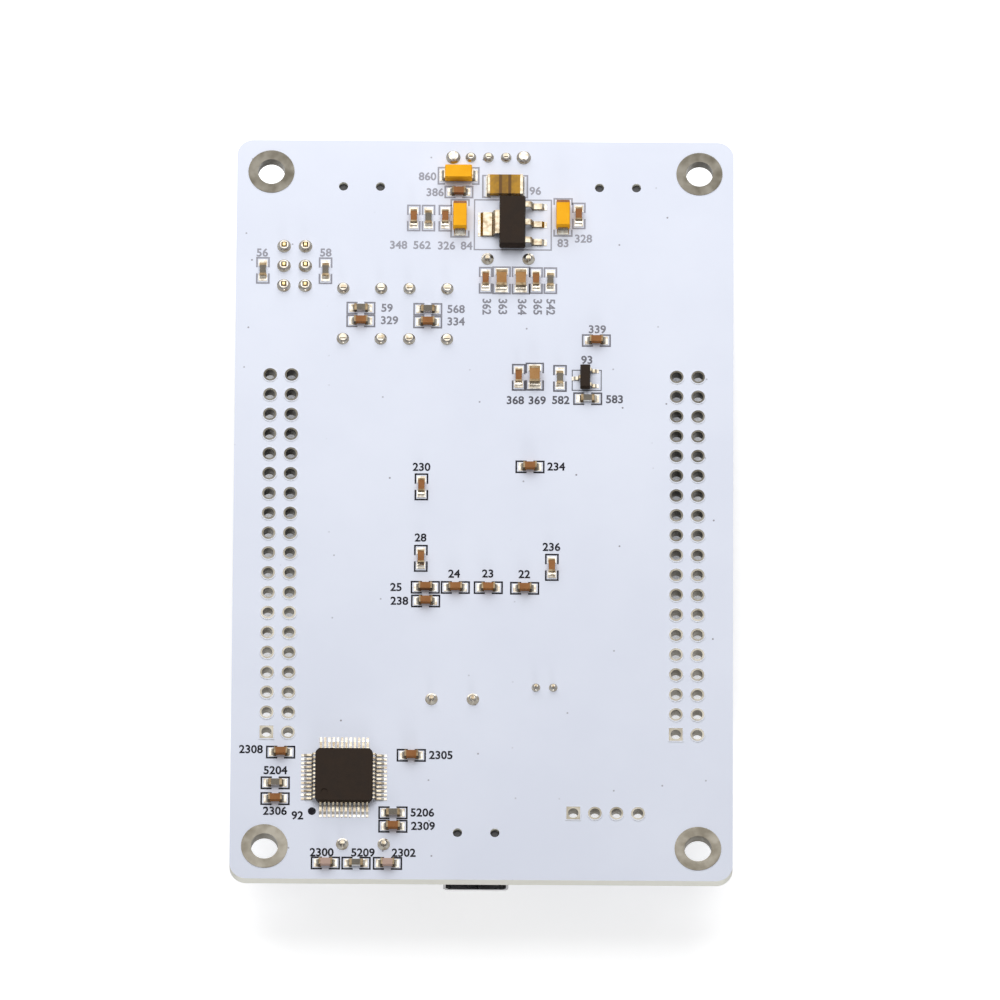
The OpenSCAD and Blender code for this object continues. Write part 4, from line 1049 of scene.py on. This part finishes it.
@dataclass
class BoardPrint:
    """All print on the board: outlines, boxes, the first-pin dot and the numbers.

    Attributes:
        places: Where the board and its parts are.
        kinds: Each kind of outline, with the nodes whose solids it goes round.
        regulator_margin: From the regulator's leads to its box: left, below, right and above.
        regulator_line: Width of that box's line.
        transistor_margin: From the transistor's case to its box: left, below, right and above.
        transistor_line: Width of that box's line.
        dot_out: From the corner of the flat pack's body to its first-pin dot: left and up.
        dot: Diameter of that dot.
        dot_flats: Number of flats of its rim.
    """

    places: BoardPlaces
    kinds: tuple[tuple[OutlinePrint, tuple[str, ...]], ...] = (
        (OutlinePrint(3.45 * MM, 1.62 * MM, 0.8 * MM),
         ("small_capacitor_bodies", "resistor_bodies", "indicator_lamps")),
        (OutlinePrint(3.6 * MM, 2.2 * MM, 0.9 * MM), ("large_capacitor_bodies",)),
        (OutlinePrint(5.0 * MM, 2.3 * MM, 3.2 * MM), ("tantalum_capacitor_bodies",)),
        (OutlinePrint(5.5 * MM, 3.0 * MM, 3.4 * MM), ("resettable_fuse_body",)),
    )
    regulator_margin: tuple[float, float, float, float] = (1.1 * MM, 0.15 * MM, 1.2 * MM, 0.15 * MM)
    regulator_line: float = 0.15 * MM
    transistor_margin: tuple[float, float, float, float] = (1.0 * MM, 0.05 * MM, 1.35 * MM, -0.35 * MM)
    transistor_line: float = 0.11 * MM
    dot_out: tuple[float, float] = (0.35 * MM, -0.9 * MM)
    dot: float = 0.95 * MM
    dot_flats: int = 28

    def outlines(self) -> list[Object]:
        """Draws an outline round every two-ended part, on both sides."""
        marks = []
        for outline, nodes in self.kinds:
            marks += stamp(outline.draw(), [
                Spot(Vector((*part.centre.xy, self.places.face(side))), part.turn, side)
                for side in Side for node in nodes for part in self.places.islands(node, side)
            ])
        return marks

    def boxes(self) -> list[Object]:
        """Draws the boxes round the regulator and the transistor."""
        level = self.places.face(Side.SOLDER)
        leads_low, leads_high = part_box("regulator_leads")
        body_low, body_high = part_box("regulator_body")
        case_low, case_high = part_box("transistor_body")
        low, high = (leads_low.x, body_low.y), (leads_high.x, body_high.y)
        regulator = BoxPrint(low, high, self.regulator_margin, self.regulator_line)
        transistor = BoxPrint(case_low[:2], case_high[:2], self.transistor_margin, self.transistor_line)
        return regulator.draw(level) + transistor.draw(level)

    def first_pin(self) -> list[Object]:
        """Draws the dot at the probe controller's first pin."""
        corner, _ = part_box("probe_controller_body")
        x, y = corner.x - self.dot_out[0], corner.y + self.dot_out[1]
        dot = flat_disc(self.dot, self.dot_flats)
        thicken(INK)
        return stamp(dot, [Spot(Vector((x, y, self.places.face(Side.SOLDER))))])

    def build(self, ink: Material) -> None:
        """Draws and dresses all print.

        Args:
            ink: The ink's material.
        """
        outlines = join("printed_outlines", [*self.outlines(), *self.boxes(), *self.first_pin()])
        finish_piece(outlines, ink)
        finish_piece(LabelPrint().build(self.places), ink)


@dataclass
class MaskCollars:
    """The rims of solder mask that lap over the edges of the header lands.

    Attributes:
        places: Where the lands are.
        nodes: The CAD nodes that hold the lands.
        lap: How far a rim reaches in over its land.
        spare: How far it reaches out past the land's edge.
        film: Thickness of the mask on the land.
        flats: Number of flats of a round rim.
        row: Lands whose middles round to the same multiple of this along Y are in one row.
    """

    places: BoardPlaces
    nodes: tuple[str, ...] = ("left_header_lands", "right_header_lands", "probe_header_lands")
    lap: float = 0.09 * MM
    spare: float = 0.03 * MM
    film: float = 0.012 * MM
    flats: int = 32
    row: float = 0.1 * MM

    def draw(self, land: float, square: bool, height: float) -> Object:
        """Models one rim about the origin.

        Args:
            land: The land's width.
            square: Whether the land is square.
            height: The rim's height above the board's face.
        """
        across = land + 2 * self.spare
        rim = flat_sheet(across, across) if square else flat_disc(across, self.flats)
        hollow(self.lap + self.spare)
        thicken(height)
        return rim

    def build(self, mask: Material) -> None:
        """Models and dresses the rims of all header lands on both faces.

        Args:
            mask: The board's own mask.
        """
        rims = []
        for node in self.nodes:
            lands = self.places.islands(node)
            lands.sort(key=lambda land: (round(land.centre.y / self.row), land.centre.x))
            height = lands[0].high.z - self.places.high.z + self.film
            for land in lands:
                pattern = self.draw(land.size.x, land is lands[0], height)
                rims += stamp(pattern, [
                    Spot(Vector((*land.centre.xy, self.places.face(side))), 0, side) for side in Side
                ])
        finish_piece(join("mask_collars", rims), mask)


@dataclass
class DarkEndBars:
    """A dark bar across the +Y end of each tantalum capacitor that lies along Y.

    Attributes:
        places: Where the capacitors are.
        width: Width of a bar.
        inset: From the case's end to the bar.
        side_inset: From the case's side to the bar's end.
        film: Thickness of the bar.
    """

    places: BoardPlaces
    width: float = 0.3 * MM
    inset: float = 0.06 * MM
    side_inset: float = 0.06 * MM
    film: float = 0.01 * MM

    def build(self, material: Material) -> None:
        """Draws and dresses the bars.

        Args:
            material: Their material.
        """
        bars = []
        for case in self.places.islands("tantalum_capacitor_bodies", Side.SOLDER):
            if case.turn:
                pattern = flat_sheet(case.size.x - 2 * self.side_inset, self.width)
                thicken(self.film)
                y = case.high.y - self.inset - self.width / 2
                bars += stamp(pattern, [Spot(Vector((case.centre.x, y, case.high.z)))])
        finish_piece(join("polarity_bars", bars), material)


@dataclass
class SnapDomes:
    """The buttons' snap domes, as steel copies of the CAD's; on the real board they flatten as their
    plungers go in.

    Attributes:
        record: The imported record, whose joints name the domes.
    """

    record: dict

    def build(self, steel: Material) -> None:
        """Puts a steel copy in the place of each of the CAD's domes, and hides the CAD's.

        Args:
            steel: The domes' material.
        """
        for joint in self.record["behaviour"]["joints"]:
            for bent in joint.get("deforming_nodes", ()):
                node = bent["node"]
                mesh = bpy.data.objects[node].data.copy()
                dome = bpy.data.objects.new(node.replace("button", "snap"), mesh)
                bpy.context.collection.objects.link(dome)
                finish_piece(dome, steel)
                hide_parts(node)
                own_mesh(dome)


# ---------- studio ----------


@dataclass(frozen=True)
class Lamp:
    """A square soft lamp that looks at the board.

    Attributes:
        name: Its name.
        place: Where it hangs.
        size: Its side.
        watts: Its power.
    """

    name: str
    place: tuple[float, float, float]
    size: float
    watts: float

    def hang(self) -> None:
        """Hangs the lamp."""
        data = bpy.data.lights.new(self.name, "AREA")
        data.size = self.size
        data.energy = self.watts
        lamp = bpy.data.objects.new(self.name, data)
        bpy.context.collection.objects.link(lamp)
        lamp.visible_camera = False
        lamp.location = self.place
        lamp.rotation_euler = (-Vector(self.place)).to_track_quat("-Z", "Y").to_euler()


@dataclass
class Studio:
    """The floor, the light and the camera.

    Attributes:
        floor_size: Side of the floor.
        world_level: Strength of the even light from all round on what isn't glossy.
        lamps: The lamps.
        lens_pixels: Focal length in pixels of a picture that is picture_pixels wide.
        picture_pixels: Width of that picture.
        sensor: Width of the sensor, in millimetres.
        pitch: The camera's tilt about X, in degrees.
        yaw: Its turn about Y, in degrees.
        roll: Its turn about Z, in degrees.
        shift: Where the board's header middle stands before the camera: right, up and away.
        header_middle: That middle in the frame, along X and Y.
        sight: How far the camera sees.
    """

    floor_size: float = 4.0
    world_level: float = 0.27
    lamps: tuple[Lamp, ...] = (
        Lamp("key", (-0.02, 0.22, 0.24), 0.42, 1.42),
        Lamp("fill", (0.05, -0.5, 0.09), 0.16, 0.6),
    )
    lens_pixels: float = 21248.0
    picture_pixels: int = 1000
    sensor: float = 36.0
    pitch: float = -22.47
    yaw: float = 0.02
    roll: float = -0.352
    shift: tuple[float, float, float] = (-2.009 * MM, -6.391 * MM, -2513.6 * MM)
    header_middle: tuple[float, float] = (0.0, -5.9 * MM)
    sight: float = 20.0

    def lay_floor(self, finish: PaperFinish) -> None:
        """Lays the pale floor that the board lies on.

        Args:
            finish: Its finish.
        """
        let_go()
        bpy.ops.mesh.primitive_plane_add(size=self.floor_size)
        floor = bpy.context.object
        floor.name = "studio_floor"
        floor.data.materials.append(finish.mix())

    def set_world(self) -> None:
        """Sets the even light from all round, white where the camera, a gloss or glass sees it."""
        world = bpy.data.worlds.new("studio_world")
        bpy.context.scene.world = world
        world.use_nodes = True
        nodes, links = world.node_tree.nodes, world.node_tree.links
        background = nodes["Background"]
        background.inputs["Color"].default_value = (*WHITE, 1)
        seen = seen_by_eye(world.node_tree)
        level = nodes.new("ShaderNodeMapRange")
        level.inputs["To Min"].default_value = self.world_level
        links.new(seen, level.inputs["Value"])
        links.new(level.outputs["Result"], background.inputs["Strength"])

    def set_camera(self, board_top: float) -> None:
        """Sets the camera at its measured place.

        Args:
            board_top: Height of the board's upper face.
        """
        turn = (
            Matrix.Rotation(math.radians(self.roll), 3, "Z")
            @ Matrix.Rotation(math.radians(self.pitch), 3, "X")
            @ Matrix.Rotation(math.radians(self.yaw), 3, "Y")
        )
        back = turn.transposed()
        origin = Vector((*self.header_middle, board_top))
        place = origin - back @ Vector(self.shift)
        data = bpy.data.cameras.new("camera")
        data.sensor_width = self.sensor
        data.lens = self.lens_pixels / self.picture_pixels * self.sensor
        data.clip_end = self.sight
        camera = bpy.data.objects.new("camera", data)
        bpy.context.collection.objects.link(camera)
        camera.matrix_world = Matrix.Translation(place) @ back.to_4x4()
        bpy.context.scene.camera = camera

    def build(self, places: BoardPlaces) -> None:
        """Sets up the whole studio.

        Args:
            places: Where the board's faces are.
        """
        scene = bpy.context.scene
        scene.view_settings.view_transform = "Standard"
        self.lay_floor(PaperFinish("floor_paper"))
        self.set_world()
        for lamp in self.lamps:
            lamp.hang()
        self.set_camera(places.face(Side.SOLDER))


# ---------- the whole board ----------


@dataclass
class Board:
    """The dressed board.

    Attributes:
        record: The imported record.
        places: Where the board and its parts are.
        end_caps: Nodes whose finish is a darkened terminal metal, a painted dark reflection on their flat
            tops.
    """

    record: dict
    places: BoardPlaces
    end_caps: tuple[str, ...] = (
        "small_capacitor_terminals", "large_capacitor_terminals", "resistor_terminals",
    )

    def dress(self) -> dict[str, Material]:
        """Gives every CAD node the finish of its slot.

        Returns:
            The materials by the names of their finishes.
        """
        materials = {finish.name: finish.mix() for finish in finishes()}
        for part in self.record["subparts"]:
            node = bpy.data.objects[part["node"]]
            node.data.materials.clear()
            # Painted reflection: the end caps get the darkened terminal metal.
            finish = "chip_terminal" if part["node"] in self.end_caps else part["material_slot"]
            node.data.materials.append(materials[finish])
            LOG.info("%s: %s", node.name, finish)
        return materials

    def print_marks(self) -> None:
        """Adds what is printed on the board, and the dark end bars on the tantalum capacitors."""
        BoardPrint(self.places).build(InkFinish("print_ink").mix())
        # A dark bar at the +Y end of each tantalum capacitor that lies along Y.
        bar = MouldedFinish("dark_end_bar_finish", body=(0.3, 0.105, 0.02), filler=(0.24, 0.08, 0.015))
        DarkEndBars(self.places).build(bar.mix())


def main() -> None:
    """Builds the scene around the frame."""
    logging.basicConfig(level=logging.INFO, format="%(name)s: %(message)s")
    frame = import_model()
    places = BoardPlaces()
    board = Board(frame["record"], places)
    materials = board.dress()
    MaskCollars(places).build(materials["white_solder_mask"])
    SnapDomes(frame["record"]).build(materials["bright_steel"])
    board.print_marks()
    Studio().build(places)


if __name__ == "__main__":
    main()
